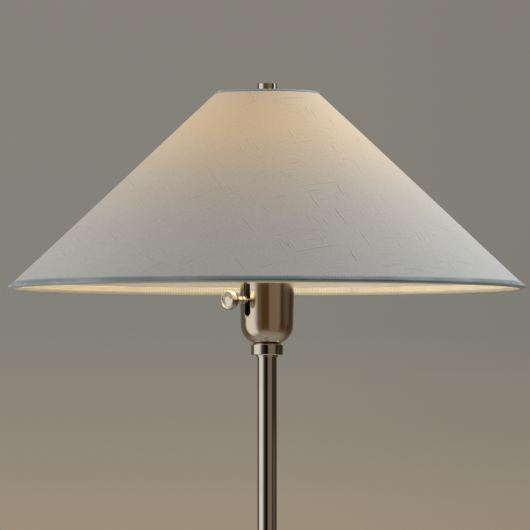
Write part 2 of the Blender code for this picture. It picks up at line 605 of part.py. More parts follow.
def build_switch(finish):
    """The dimmer's shaft and its turn knob, both turned about the knob's own axis."""
    axis = bpy.data.objects.new("switch_axis", None)
    axis.location = (0, 0, KNOB_AXIS_Z)
    axis.rotation_euler = (0, math.radians(90), KNOB_AZIMUTH)
    bpy.context.scene.collection.objects.link(axis)
    thread_end = KNOB_BEAD_REACH + KNOB_THREAD_DEPTH
    turned("switch_shaft", [(0, SHAFT_INNER_REACH), (SHAFT_R, SHAFT_INNER_REACH),
                            (SHAFT_R, thread_end - GAP), (0, thread_end - GAP)],
           finish["brass"], parent=axis, segments=SMALL_SEGMENTS)
    bead_end = KNOB_BEAD_REACH + KNOB_BEAD_LENGTH
    neck_end = bead_end + KNOB_NECK_LENGTH
    rim_start = KNOB_FACE_REACH - KNOB_RIM_THICK
    round_r = KNOB_RIM_THICK / 2
    face = KNOB_FACE_REACH - KNOB_FACE_RECESS
    turned("turn_knob", [
        (0, thread_end), (SHAFT_R + GAP, thread_end), (SHAFT_R + GAP, KNOB_BEAD_REACH),
        (KNOB_BEAD_R - GAP, KNOB_BEAD_REACH), (KNOB_BEAD_R, KNOB_BEAD_REACH + KNOB_BEAD_LENGTH / 3),
        (KNOB_BEAD_R, bead_end - KNOB_BEAD_LENGTH / 3), (KNOB_NECK_R, bead_end),
        (KNOB_NECK_R, neck_end), (KNOB_NECK_R * 2, neck_end + (rim_start - neck_end) * 0.7),
        (KNOB_R - round_r, rim_start),
        *arc((KNOB_R - round_r, rim_start + round_r), round_r, -45, 90, 3),
        (KNOB_R - 1.4 * round_r, face), (0, face)], finish["nickel"], parent=axis)


def build_holder(finish):
    """The harp saddle, the fixings in the cup, and the lamp holder with its switch block."""
    hole = PIPE_R + GAP
    bend = (HARP_LEG_X + HARP_WIRE_R - SADDLE_BEND_R, SADDLE_BOTTOM + SADDLE_BEND_R)
    arm_top = SADDLE_BOTTOM + SADDLE_ARM_HEIGHT
    outer_half = [*arc(bend, SADDLE_BEND_R, -90, 0, 6), (bend[0] + SADDLE_BEND_R, arm_top)]
    inner_half = [*arc(bend, SADDLE_BEND_R - SADDLE_THICK, -90, 0, 6),
                  (bend[0] + SADDLE_BEND_R - SADDLE_THICK, arm_top)]
    right = outer_half + inner_half[::-1]
    left = [(-x, z) for x, z in right][::-1]
    saddle = place("harp_saddle", prism_mesh("harp_saddle", right + left, SADDLE_WIDTH),
                   finish["brass"])
    for side, x in (("left", -HARP_LEG_X), ("right", HARP_LEG_X)):
        post = rod_mesh("post_" + side, (x, 0, arm_top - SADDLE_POST_OVERLAP), (x, 0, POST_TOP),
                        HARP_WIRE_R, WIRE_SIDES * 2)
        combine(saddle, tool("post_" + side, post), "UNION")
    bore = rod_mesh("saddle_bore", (0, 0, SADDLE_BOTTOM - SADDLE_THICK),
                    (0, 0, SADDLE_BOTTOM + 2 * SADDLE_THICK), hole, SMALL_SEGMENTS)
    combine(saddle, tool("saddle_bore", bore), "DIFFERENCE")
    turned("cup_washer", sleeve(hole, CUP_WASHER_R, CUP_WASHER_BOTTOM,
                                CUP_WASHER_BOTTOM + CUP_WASHER_THICK), finish["steel"],
           segments=SMALL_SEGMENTS)
    hexagon_nut("cup_nut", CUP_NUT_FLATS, CUP_NUT_THICK, hole, finish["brass"], CUP_NUT_BOTTOM)

    wide = HOLDER_R - HOLDER_WALL
    hub_top = HOLDER_BOTTOM + HOLDER_HUB_HEIGHT
    cap_top = HOLDER_BOTTOM + HOLDER_CAP_HEIGHT
    shoulder = (HOLDER_BOTTOM + cap_top) / 2
    turned("holder_cap", [
        (hole, HOLDER_BOTTOM), (HOLDER_HUB_R, HOLDER_BOTTOM), (HOLDER_HUB_R, hub_top),
        (HOLDER_R, shoulder + HOLDER_WALL), (HOLDER_R, cap_top), (wide, cap_top),
        (wide, shoulder + 2 * HOLDER_WALL), (HOLDER_HUB_R, hub_top + 2 * HOLDER_WALL),
        (hole, hub_top + 2 * HOLDER_WALL)], finish["phenolic"])

    shell = turned("holder_shell", sleeve(wide, HOLDER_R, HOLDER_SHELL_BOTTOM,
                                          HOLDER_SHELL_BOTTOM + HOLDER_SHELL_HEIGHT), finish["phenolic"])
    out = Vector((math.cos(KNOB_AZIMUTH), math.sin(KNOB_AZIMUTH), 0))
    level = Vector((0, 0, KNOB_AXIS_Z))
    window = rod_mesh("shell_window", out * (wide - 3 * HOLDER_WALL) + level,
                      out * (HOLDER_R + 3 * HOLDER_WALL) + level, SHELL_WINDOW_R, SMALL_SEGMENTS)
    combine(shell, tool("shell_window", window), "DIFFERENCE")

    block_r = wide - GAP
    block = turned("switch_block", [(0, SWITCH_BLOCK_BOTTOM), (block_r, SWITCH_BLOCK_BOTTOM),
                                    (block_r, SWITCH_BLOCK_TOP), (0, SWITCH_BLOCK_TOP)],
                   finish["phenolic"])
    shaft_hole = rod_mesh("shaft_hole", out * (SHAFT_INNER_REACH - GAP) + level,
                          out * 2 * HOLDER_R + level, SHAFT_R + GAP, SMALL_SEGMENTS)
    combine(block, tool("shaft_hole", shaft_hole), "DIFFERENCE")

    screw_in = BULB_BASE_R + GAP
    screw_bottom = SWITCH_BLOCK_TOP + GAP
    turned("screw_shell", sleeve(screw_in, screw_in + SCREW_SHELL_WALL, screw_bottom,
                                 screw_bottom + SCREW_SHELL_HEIGHT), finish["brass"])
    foot = SWITCH_BLOCK_TOP + GAP
    half = CONTACT_WIDTH
    contact = [
        (-2 * half + GAP, foot), (-half, foot), (-half / 2, CONTACT_TOP - CONTACT_THICK),
        (half, CONTACT_TOP - CONTACT_THICK), (half, CONTACT_TOP), (-half / 2, CONTACT_TOP),
        (-half - CONTACT_THICK, foot + CONTACT_THICK), (-2 * half + GAP, foot + CONTACT_THICK),
    ]
    place("centre_contact", prism_mesh("centre_contact", contact, CONTACT_WIDTH), finish["brass"])
    head_top = SWITCH_BLOCK_BOTTOM - GAP
    for side, x in (("live", -TERMINAL_X), ("neutral", TERMINAL_X)):
        turned("terminal_screw_" + side, [
            (0, head_top - TERMINAL_HEAD_THICK), (TERMINAL_HEAD_R, head_top - TERMINAL_HEAD_THICK),
            (TERMINAL_HEAD_R, head_top), (0, head_top)], finish["brass"], (x, 0, 0), segments=12)


def build_bulb(finish):
    base_bottom = BULB_BOTTOM + BULB_TIP_HEIGHT + GAP
    base_top = base_bottom + BULB_BASE_HEIGHT
    inner = BULB_BASE_R - BULB_BASE_WALL
    turned("bulb_tip", [(0, BULB_BOTTOM), (BULB_TIP_R * 0.7, BULB_BOTTOM),
                        (BULB_TIP_R, BULB_BOTTOM + BULB_TIP_HEIGHT), (0, BULB_BOTTOM + BULB_TIP_HEIGHT)],
           finish["brass"], segments=SMALL_SEGMENTS)
    turned("bulb_base", [
        (BULB_TIP_R, base_bottom), (BULB_BASE_R * 0.8, base_bottom),
        (BULB_BASE_R, base_bottom + BULB_TIP_HEIGHT), (BULB_BASE_R, base_top), (inner, base_top),
        (inner, base_bottom + BULB_TIP_HEIGHT + BULB_BASE_WALL),
        (BULB_TIP_R, base_bottom + BULB_BASE_WALL)], finish["steel"])
    neck_r = inner - GAP
    neck_bottom = base_top - BULB_NECK_INSERT
    globe = (0, BULB_BOTTOM + BULB_LENGTH - BULB_GLOBE_R)

    def envelope(inset):
        """From the neck, by a flare that leaves the neck upright and meets the globe, to the crown."""
        join = -32
        globe_arc = arc(globe, BULB_GLOBE_R - inset, join, 90, 6)
        start = Vector((neck_r - inset, base_top))
        end = Vector(globe_arc[0])
        tangent = Vector((-math.sin(math.radians(join)), math.cos(math.radians(join))))
        reach = (end - start).length / 2
        flare = bezier(start, start + Vector((0, reach)), end - tangent * reach, end, 4)
        return [(neck_r - inset, neck_bottom), tuple(start), *map(tuple, flare), *globe_arc[1:-1],
                (0, globe[1] + BULB_GLOBE_R - inset)]

    turned("bulb_glass", envelope(0) + envelope(BULB_GLASS_WALL)[::-1], finish["glass"], segments=20)


def shade_bottom_edge():
    return (SHADE_BOTTOM_R, RIM_Z)


def shade_top_edge():
    return (SHADE_TOP_R, SHADE_TOP_Z)


def ring_centre(edge, inwards):
    """Centre of a ring wire that lies against the inside of the skin, near this edge."""
    return on_wall(edge, inwards * (RING_EDGE_INSET + RING_WIRE_R), -SKIN_WALL - GAP - RING_WIRE_R)


SPIDER_RING_R, SPIDER_RING_Z = ring_centre(shade_top_edge(), -1)
SPIDER_Z = SPIDER_RING_Z - SPIDER_DROP
STUD_SEAT_TOP = SPIDER_Z - SPIDER_WASHER_THICK / 2 - GAP


def build_harp(finish):
    """The detachable bow, the stud at its top that carries the shade, and the two ferrules."""
    hub_top = STUD_SEAT_TOP - STUD_SEAT_THICK
    wire_z = hub_top - STUD_HUB_HEIGHT / 2
    foot = Vector((HARP_LEG_X, POST_TOP + GAP))
    knee = foot + Vector((0, BOW_STRAIGHT))
    top = Vector((STUD_HUB_R * 1.2, wire_z))
    widest = Vector((BOW_HALF_WIDTH, foot.y + (wire_z - foot.y) * BOW_WIDEST_SHARE))
    flare = Vector((0, (widest.y - knee.y) * BOW_FLARE))
    shoulder = Vector((0, (wire_z - widest.y) * BOW_SHOULDER))
    crown = Vector((BOW_HALF_WIDTH * BOW_SHOULDER, 0))
    half = [foot, knee, *bezier(knee, knee + flare, widest - flare, widest, 5),
            *bezier(widest, widest + shoulder, top + crown, top, 8), Vector((0, wire_z))]
    points = [(p.x, 0, p.y) for p in half] + [(-p.x, 0, p.y) for p in half[-2::-1]]
    place("harp_bow", wire_mesh("harp_bow", points, HARP_WIRE_R), finish["satin"])

    stud = turned("harp_stud", [
        (0, hub_top - STUD_HUB_HEIGHT), (STUD_HUB_R, hub_top - STUD_HUB_HEIGHT), (STUD_HUB_R, hub_top),
        (STUD_SEAT_R, hub_top), (STUD_SEAT_R, STUD_SEAT_TOP), (STUD_R, STUD_SEAT_TOP),
        (STUD_R, STUD_SEAT_TOP + STUD_LENGTH), (0, STUD_SEAT_TOP + STUD_LENGTH)],
        finish["brass"], segments=SMALL_SEGMENTS)
    reach = 2 * STUD_HUB_R
    wire_hole = rod_mesh("wire_hole", (-reach, 0, wire_z), (reach, 0, wire_z), HARP_WIRE_R + GAP,
                         SMALL_SEGMENTS)
    combine(stud, tool("wire_hole", wire_hole), "DIFFERENCE")

    ferrule = sleeve(HARP_WIRE_R + GAP, FERRULE_R, 0, FERRULE_LENGTH)
    for name, x in (("harp_ferrule_left", -HARP_LEG_X), ("harp_ferrule_right", HARP_LEG_X)):
        turned(name, ferrule, finish["satin"], (x, 0, POST_TOP - FERRULE_LENGTH / 2), segments=16)


def trim_profile(edge, inwards, width, wrapped, turn_in):
    """A folded tape: this wide outside the cloth, round the edge, and turned in past what it wraps."""
    outer = GAP
    inner = -SKIN_WALL - GAP - wrapped
    fold = -inwards * GAP
    lip = -inwards * (GAP + TRIM_THICK)
    return [
        on_wall(edge, inwards * width, outer), on_wall(edge, inwards * width, outer + TRIM_THICK),
        on_wall(edge, 0, outer + TRIM_THICK), on_wall(edge, lip, 0),
        on_wall(edge, lip, inner), on_wall(edge, 0, inner - TRIM_THICK),
        on_wall(edge, inwards * turn_in, inner - TRIM_THICK), on_wall(edge, inwards * turn_in, inner),
        on_wall(edge, fold, inner), on_wall(edge, fold, outer),
    ]


def build_shade(finish):
    bottom, top = shade_bottom_edge(), shade_top_edge()
    skin = [bottom, top, on_wall(top, 0, -SKIN_WALL), on_wall(bottom, 0, -SKIN_WALL)]
    turned("shade_skin", skin, finish["linen"], segments=SHADE_SEGMENTS)
    hem = trim_profile(bottom, 1, HEM_WIDTH, 2 * RING_WIRE_R + GAP, HEM_WIDTH)
    turned("bottom_trim", hem, finish["linen"], segments=SHADE_SEGMENTS)
    turned("top_trim", trim_profile(top, -1, TOP_TRIM_WIDTH, 0, TOP_TRIM_TURN_IN), finish["linen"],
           segments=SHADE_SEGMENTS)
    turned("bottom_ring", arc(ring_centre(bottom, 1), RING_WIRE_R, 0, 360 - 360 / WIRE_SIDES,
                              WIRE_SIDES - 1), finish["steel"], segments=SHADE_SEGMENTS)

    spider = turned("shade_spider", arc((SPIDER_RING_R, SPIDER_RING_Z), RING_WIRE_R, 0,
                                        360 - 360 / WIRE_SIDES, WIRE_SIDES - 1),
                    finish["satin"], segments=SHADE_SEGMENTS)
    half = SPIDER_WASHER_THICK / 2
    washer = turned_mesh("spider_washer", [
        (STUD_R + GAP, SPIDER_Z - half), (SPIDER_WASHER_R, SPIDER_Z - half),
        (SPIDER_WASHER_R, SPIDER_Z + half), (STUD_R + GAP, SPIDER_Z + half)], SMALL_SEGMENTS)
    combine(spider, tool("spider_washer", washer), "UNION")
    for i in range(SPIDER_ARMS):
        angle = SPIDER_FIRST_ARM + math.tau * i / SPIDER_ARMS
        out = Vector((math.cos(angle), math.sin(angle), 0))
        level = Vector((0, 0, SPIDER_Z))
        hub_end = out * (SPIDER_WASHER_R - 3 * SPIDER_ARM_R) + level
        bend = out * SPIDER_ARM_FLAT + level
        rim = out * SPIDER_RING_R + Vector((0, 0, SPIDER_RING_Z))
        handle = out * (SPIDER_RING_R - SPIDER_ARM_FLAT) / 2
        arm = [hub_end, bend, *bezier(bend, bend + handle, rim - handle, rim, 4)]
        combine(spider, tool(f"arm_{i}", wire_mesh(f"arm_{i}", arm, SPIDER_ARM_R)), "UNION")


def build_finial(finish):
    bottom = SPIDER_Z + SPIDER_WASHER_THICK / 2 + GAP
    top = SHADE_TOP_Z + FINIAL_RISE
    drum = top - FINIAL_DRUM_HEIGHT
    foot_top = bottom + FINIAL_EDGE * 2
    bore = STUD_R + GAP
    turned("finial", [
        (0, bottom + FINIAL_BORE_DEPTH), (bore, bottom + FINIAL_BORE_DEPTH), (bore, bottom),
        (FINIAL_FOOT_R, bottom), (FINIAL_FOOT_R, foot_top), (FINIAL_NECK_R, foot_top + FINIAL_EDGE),
        (FINIAL_NECK_R, drum - 3 * FINIAL_EDGE), (FINIAL_R - FINIAL_EDGE, drum),
        (FINIAL_R, drum + FINIAL_EDGE), (FINIAL_R, top - FINIAL_EDGE), (FINIAL_R - FINIAL_EDGE, top),
        (0, top)], finish["nickel"])


def build_lamp():
    clear_scene()
    finish = make_finishes()
    build_base(finish)
    build_lower_pole(finish)
    build_clamp(finish)
    build_upper_pole(finish)
    build_cup(finish)
    build_switch(finish)
    build_holder(finish)
    build_bulb(finish)
    build_harp(finish)
    build_shade(finish)
    build_finial(finish)


build_lamp()
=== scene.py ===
"""The floor lamp's visible surfaces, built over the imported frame, with its lights, floor and camera.

Shapes are worked out in millimetres and turn into metres where each mesh is made. Materials, UVs, lights
and the camera are in metres."""

import math

import bmesh
import bpy
from mathutils import Matrix, Vector
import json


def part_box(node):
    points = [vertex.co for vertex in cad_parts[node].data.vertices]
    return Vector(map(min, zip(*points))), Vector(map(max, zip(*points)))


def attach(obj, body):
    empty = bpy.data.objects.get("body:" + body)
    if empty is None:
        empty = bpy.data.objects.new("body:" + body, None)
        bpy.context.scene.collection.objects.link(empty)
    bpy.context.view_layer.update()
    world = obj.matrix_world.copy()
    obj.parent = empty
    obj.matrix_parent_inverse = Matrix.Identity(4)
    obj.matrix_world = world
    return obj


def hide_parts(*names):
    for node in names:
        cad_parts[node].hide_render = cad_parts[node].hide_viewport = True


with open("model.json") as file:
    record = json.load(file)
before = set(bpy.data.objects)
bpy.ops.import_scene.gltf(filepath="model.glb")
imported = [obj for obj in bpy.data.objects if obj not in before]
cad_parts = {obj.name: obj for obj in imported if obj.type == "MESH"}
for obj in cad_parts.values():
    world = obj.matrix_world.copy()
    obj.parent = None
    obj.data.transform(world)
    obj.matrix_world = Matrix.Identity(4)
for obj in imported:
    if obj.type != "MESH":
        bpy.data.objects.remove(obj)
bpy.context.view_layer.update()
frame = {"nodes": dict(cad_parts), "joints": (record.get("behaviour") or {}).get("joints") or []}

MM = 0.001


def in_mm(corners):
    """The low and high corners of a box, from metres to millimetres."""
    return tuple(corner / MM for corner in corners)


# ---------------------------------------------------------------- levels read from the frame
cup_lo, cup_hi = in_mm(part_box("socket_cup"))
CUP_BOTTOM, CUP_LIP, CUP_R = cup_lo.z, cup_hi.z, cup_hi.x
neck_lo, neck_hi = in_mm(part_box("neck_collar"))
skin_hi = in_mm(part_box("shade_skin"))[1]
R_BOTTOM, SHADE_TOP = skin_hi.x, skin_hi.z
R_TOP = 50.2
SHADE_HEIGHT = 190.5
RIM = SHADE_TOP - SHADE_HEIGHT
SLANT = math.hypot(R_BOTTOM - R_TOP, SHADE_HEIGHT)
UP_WALL = Vector((R_TOP - R_BOTTOM, SHADE_HEIGHT)) / SLANT
OUT_WALL = Vector((UP_WALL.y, -UP_WALL.x))
bulb_lo, bulb_hi = in_mm(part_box("bulb_glass"))
BULB_CENTRE = Vector((0, 0, bulb_hi.z - 30))
joints = {j["name"]: j for j in frame["joints"]}
KNOB_AXIS = Vector(joints["dimmer_turn"]["axis"])
KNOB_POINT = Vector(joints["dimmer_turn"]["pos_m"]) / MM
KNOB_POINT = KNOB_POINT - KNOB_AXIS * KNOB_POINT.to_2d().length
LOCK_POINT = Vector(joints["lock_turn"]["pos_m"]) / MM


# ---------------------------------------------------------------- node helpers
class Graph:
    """A node tree with short calls for the nodes that the finishes and the surroundings share."""

    def __init__(self, name, owner=None):
        self.material = owner or bpy.data.materials.new(name)
        self.material.use_nodes = True
        self.tree = self.material.node_tree
        self.shader = self.tree.nodes.get("Principled BSDF")

    def node(self, kind, **settings):
        made = self.tree.nodes.new(kind)
        for key, value in settings.items():
            setattr(made, key, value)
        return made

    def feed(self, socket, value):
        if isinstance(value, bpy.types.NodeSocket):
            self.tree.links.new(value, socket)
        elif value is not None:
            socket.default_value = value

    def set(self, **values):
        """Sets or links inputs of the Principled shader, with underscores for spaces."""
        for key, value in values.items():
            self.feed(self.shader.inputs[key.replace("_", " ")], value)

    def place(self):
        """The shaded point in the object's own metres."""
        return self.node("ShaderNodeTexCoord").outputs["Object"]

    def uv(self):
        return self.node("ShaderNodeTexCoord").outputs["UV"]

    def split(self, vector):
        made = self.node("ShaderNodeSeparateXYZ")
        self.feed(made.inputs[0], vector)
        return made.outputs[0], made.outputs[1], made.outputs[2]

    def join(self, x, y, z):
        made = self.node("ShaderNodeCombineXYZ")
        for socket, value in zip(made.inputs, (x, y, z)):
            self.feed(socket, value)
        return made.outputs[0]

    def math(self, operation, a, b=None, clamp=False):
        made = self.node("ShaderNodeMath", operation=operation, use_clamp=clamp)
        self.feed(made.inputs[0], a)
        self.feed(made.inputs[1], b)
        return made.outputs[0]

    def times(self, a, b, clamp=False):
        return self.math("MULTIPLY", a, b, clamp)

    def plus(self, a, b):
        return self.math("ADD", a, b)

    def minus(self, a, b):
        return self.math("SUBTRACT", a, b)

    def distance(self, x, y):
        """How far the point x, y is from zero."""
        return self.math("POWER", self.plus(self.times(x, x), self.times(y, y)), 0.5)

    def scaled(self, vector, scale):
        made = self.node("ShaderNodeVectorMath", operation="MULTIPLY")
        self.feed(made.inputs[0], vector)
        self.feed(made.inputs[1], scale)
        return made.outputs[0]

    def noise(self, vector, scale, detail=2.0, rough=0.5):
        made = self.node("ShaderNodeTexNoise")
        self.feed(made.inputs["Vector"], vector)
        made.inputs["Scale"].default_value = scale
        made.inputs["Detail"].default_value = detail
        made.inputs["Roughness"].default_value = rough
        return made.outputs[0]

    def between(self, value, low, high, out_low=0.0, out_high=1.0, smooth=False):
        """The value's place from low to high, mapped to the out range and held at its ends."""
        made = self.node("ShaderNodeMapRange", clamp=True)
        if smooth:
            made.interpolation_type = "SMOOTHSTEP"
        for socket, number in zip(made.inputs, (value, low, high, out_low, out_high)):
            self.feed(socket, number)
        return made.outputs[0]

    def ramp(self, value, stops, easing="LINEAR"):
        made = self.node("ShaderNodeValToRGB")
        made.color_ramp.interpolation = easing
        elements = made.color_ramp.elements
        while len(elements) < len(stops):
            elements.new(0.5)
        for element, (at, colour) in zip(elements, stops):
            element.position = at
            element.color = (*colour, 1.0)
        self.feed(made.inputs[0], value)
        return made.outputs[0]

    def mix(self, factor, a, b, blend="MIX"):
        made = self.node("ShaderNodeMix", data_type="RGBA", blend_type=blend)
        self.feed(made.inputs[0], factor)
        for socket, value in ((made.inputs[6], a), (made.inputs[7], b)):
            self.feed(socket, (*value, 1.0) if isinstance(value, tuple) else value)
        return made.outputs[2]

    def bump(self, height, strength, distance, under=None):
        made = self.node("ShaderNodeBump")
        made.inputs["Strength"].default_value = strength
        made.inputs["Distance"].default_value = distance
        self.feed(made.inputs["Height"], height)
        self.feed(made.inputs["Normal"], under)
        return made.outputs[0]

    def round_z(self, place, around, along):
        """Coordinates that wrap round local Z: angle, radius and height, each scaled for streaks."""
        x, y, z = self.split(place)
        angle = self.math("ARCTAN2", y, x)
        return self.join(
            self.times(self.math("COSINE", angle), around),
            self.times(self.math("SINE", angle), around),
            self.times(z, along),
        )


# ---------------------------------------------------------------- finishes
def polished_metal(name, colour, low=0.035, high=0.11, cloud=40.0, lines=(900.0, 900.0, 25.0)):
    """Polished plate: faint haze and hairlines from wiping, with a slight change of tone."""
    g = Graph(name)
    place = g.place()
    haze = g.noise(place, cloud, 4.0, 0.62)
    hairs = g.noise(g.scaled(place, lines), 1.0, 2.0, 0.6)
    worn = g.plus(g.times(haze, 0.75), g.times(hairs, 0.25))
    g.set(
        Base_Color=g.mix(g.between(haze, 0.35, 0.7), colour, tuple(c * 0.93 for c in colour)),
        Roughness=g.between(worn, 0.38, 0.68, low, high),
        Normal=g.bump(hairs, 0.04, 0.00001),
    )
    g.set(Metallic=1.0)
    return g.material


def turned_metal(name, colour, low, high, around=0.35, along=2600.0, stretch=0.8, lean=0.0):
    """Metal with fine lines round local Z, or along it where around is large and along small.

    lean tips the polished face downwards by this slope, as a spun wall's faint belly does."""
    g = Graph(name)
    place = g.place()
    lines = g.noise(g.round_z(place, around, along), 1.0, 3.0, 0.7)
    cloud = g.noise(place, 55.0, 3.0, 0.55)
    g.set(
        Base_Color=g.mix(g.between(lines, 0.3, 0.7), tuple(c * 0.88 for c in colour), colour),
        Roughness=g.between(g.plus(g.times(lines, 0.6), g.times(cloud, 0.4)),
                            0.35, 0.65, low, high),
        Normal=g.bump(g.times(g.split(place)[2], lean), 1.0, 1.0, g.bump(lines, 0.14, 0.00002))
        if lean else g.bump(lines, 0.14, 0.00002),
        Tangent=g.node("ShaderNodeTangent", direction_type="RADIAL", axis="Z").outputs[0],
    )
    g.set(Metallic=1.0, Anisotropic=stretch, Anisotropic_Rotation=0.25)
    return g.material


def plain_metal(name, colour, low, high, grain, metallic=1.0, depth=0.00004):
    """Unpolished metal with a mottled, slightly tarnished skin."""
    g = Graph(name)
    place = g.place()
    coarse = g.noise(place, grain, 5.0, 0.6)
    fine = g.noise(place, grain * 9, 3.0, 0.6)
    g.set(
        Base_Color=g.mix(g.between(coarse, 0.3, 0.72), colour, tuple(c * 0.72 for c in colour)),
        Roughness=g.between(fine, 0.3, 0.7, low, high),
        Normal=g.bump(fine, 0.25, depth),
    )
    g.set(Metallic=metallic)
    return g.material


def moulded_plastic(name, colour, low, high, grain=700.0):
    g = Graph(name)
    place = g.place()
    pebble = g.noise(place, grain, 3.0, 0.55)
    cloud = g.noise(place, 45.0, 3.0, 0.5)
    g.set(
        Base_Color=g.mix(g.between(cloud, 0.3, 0.7), colour, tuple(c * 0.8 + 0.008 for c in colour)),
        Roughness=g.between(cloud, 0.35, 0.65, low, high),
        Normal=g.bump(pebble, 0.12, 0.00006),
    )
    return g.material


def felt_cloth(name, colour):
    g = Graph(name)
    place = g.place()
    tufts = g.noise(place, 900.0, 5.0, 0.7)
    mats = g.noise(place, 60.0, 4.0, 0.6)
    fibre = g.noise(g.scaled(place, (2400.0, 260.0, 900.0)), 1.0, 2.0, 0.6)
    g.set(
        Base_Color=g.mix(g.between(mats, 0.3, 0.7), colour, tuple(c * 1.7 for c in colour)),
        Roughness=g.between(tufts, 0.3, 0.7, 0.85, 1.0),
        Normal=g.bump(g.plus(tufts, fibre), 0.6, 0.0004),
    )
    g.set(Sheen_Weight=0.5, Sheen_Roughness=0.6)
    return g.material


def weave_heights(g, cloth):
    """Slub lines and the fine weave, from the cloth's flat pattern: UV in metres along warp and weft."""
    bent = g.noise(cloth, 7.0, 1.0, 0.5)
    x, y, _ = g.split(cloth)
    drift = g.times(g.minus(bent, 0.5), 0.004)
    x = g.plus(x, drift)
    y = g.plus(y, drift)
    slubs = []
    for along, across, shift, lowest, highest in (
        (34.0, 300.0, 3.7, 0.755, 0.84), (42.0, 460.0, 9.1, 0.78, 0.86),
        (24.0, 380.0, 21.3, 0.765, 0.86),
    ):
        for first, second in ((x, y), (y, x)):
            spot = g.join(g.times(first, along), g.times(second, across), shift)
            shift += 5.3
            slubs.append(g.between(g.noise(spot, 1.0, 0.0), lowest, highest, smooth=True))
    slub = slubs[0]
    for other in slubs[1:]:
        slub = g.math("MAXIMUM", slub, other)
    warp = g.noise(g.join(g.times(x, 70.0), g.times(y, 1500.0), 1.3), 1.0, 2.0, 0.6)
    weft = g.noise(g.join(g.times(x, 1500.0), g.times(y, 70.0), 6.1), 1.0, 2.0, 0.6)
    yarn = g.math("MAXIMUM", warp, weft)
    return slub, yarn


def glow_share(g):
    """How strongly the bulb lights the wall from behind, for the cloth's painted glow: a point lamp's cosine
    law, from the height.
    """
    _, _, z = g.split(g.place())
    reach = (R_BOTTOM - (BULB_CENTRE.z - RIM) * (R_BOTTOM - R_TOP) / SHADE_HEIGHT) * OUT_WALL.x
    foot = BULB_CENTRE.z + reach * OUT_WALL.y
    along = g.math("DIVIDE", g.minus(z, foot * MM), UP_WALL.y * reach * MM)
    square = g.plus(g.times(along, along), 1.0)
    return g.math("POWER", square, -1.5)


def lit_linen(name, colour, glow_colour, glow):
    """White linen on a clear liner. The bulb's light coming through it is painted in: the cloth emits it, and
    its base colour warms where that glow is strong.
    """
    g = Graph(name)
    cloth = g.uv()
    slub, yarn = weave_heights(g, cloth)
    cloud = g.noise(cloth, 26.0, 4.0, 0.6)
    tone = g.mix(g.between(cloud, 0.3, 0.7), colour, tuple(c * 0.955 for c in colour))
    pebble = g.noise(cloth, 360.0, 3.0, 0.65)
    tone = g.mix(g.times(slub, 0.20), tone, tuple(c * 0.74 for c in colour))
    tone = g.mix(g.between(yarn, 0.45, 0.7, 0.0, 0.18), tone, tuple(c * 0.80 for c in colour))
    tone = g.mix(g.between(pebble, 0.38, 0.62, 0.0, 0.42), tone, tuple(c * 0.78 for c in colour))
    # Painted glow: the base colour turns warmer where the bulb's light comes through.
    tone = g.mix(g.times(glow_share(g), 0.85, clamp=True), tone,
                 g.mix(1.0, tone, (1.0, 0.975, 0.84), "MULTIPLY"))
    # Painted glow: the light coming through the cloth is given as the cloth's own emission.
    through = g.times(glow_share(g), glow)
    through = g.times(through, g.between(cloud, 0.2, 0.8, 0.93, 1.07))
    through = g.times(through, g.minus(1.0, g.times(slub, 0.2)))
    height = g.plus(g.plus(slub, g.times(yarn, 0.3)), g.times(pebble, 0.5))
    g.set(
        Base_Color=tone,
        Roughness=g.between(yarn, 0.4, 0.7, 0.8, 0.95),
        Emission_Strength=through,
        Normal=g.bump(height, 0.75, 0.00033),
    )
    g.set(Emission_Color=(*glow_colour, 1.0), Specular_IOR_Level=0.25, Sheen_Weight=0.12, Sheen_Roughness=0.5)
    return g.material


def ribbed_tape(name, colour, inside, shown, level, pitch=3.0 * MM):
    """Folded tape whose cross threads show as fine ribs: UV runs in metres round and across it.

    Its outer turn takes the cloth's colour above the level, in millimetres, and below it a darker blue-grey
    that is painted shade where the hem rolls under; its inner turn is undyed. The grooves between the ribs
    are painted dark as shade."""
    g = Graph(name)
    x, y, _ = g.split(g.uv())
    wander = g.times(g.noise(g.uv(), 60.0, 2.0, 0.5), 0.002)
    phase = g.times(g.plus(x, wander), math.tau / pitch)
    rib = g.between(g.math("SINE", phase), -1.0, 1.0)
    threads = g.noise(g.join(g.times(x, 420.0), g.times(y, 1900.0), 0.0), 1.0, 2.0, 0.6)
    cloud = g.noise(g.uv(), 90.0, 3.0, 0.6)
    px, py, pz = g.split(g.place())
    radius = g.distance(px, py)
    out = g.plus(g.times(g.minus(radius, R_BOTTOM * MM), OUT_WALL.x),
                 g.times(g.minus(pz, RIM * MM), OUT_WALL.y))
    edge = g.plus(pz, g.times(g.minus(cloud, 0.5), 0.0012))
    clumps = g.between(g.noise(g.uv(), 26.0, 3.0, 0.6), 0.40, 0.56, 0.45, 1.0)
    # Painted shade: the grooves between the ribs are darkened nearly to black.
    gaps = g.times(g.between(rib, 0.25, 0.75, 1.0, 0.0), clumps)
    painted_shade_blue = g.mix(gaps, tuple(c * 1.1 for c in colour), tuple(c * 0.02 for c in colour))
    # Painted shade: below the level the outer turn is a darker blue-grey, where the hem rolls under.
    tone = g.mix(g.between(edge, (level - 1.0) * MM, (level + 0.9) * MM, smooth=True), painted_shade_blue, shown)
    tone = g.mix(g.between(out, -0.9 * MM, -0.3 * MM, 1.0, 0.0), tone, inside)
    # Painted shade: the rib troughs are darkened once more.
    tone = g.mix(g.between(rib, 0.0, 0.8, 0.22, 0.0), tone, tuple(c * 0.4 for c in shown))
    tone = g.mix(g.between(cloud, 0.3, 0.7, 0.0, 0.16), tone, tuple(c * 0.7 for c in colour))
    g.set(
        Base_Color=tone,
        Roughness=g.between(threads, 0.3, 0.7, 0.78, 0.95),
        Normal=g.bump(g.plus(rib, g.times(threads, 0.4)), 0.6, 0.0003),
    )
    g.set(Specular_IOR_Level=0.2, Sheen_Weight=0.15)
    return g.material


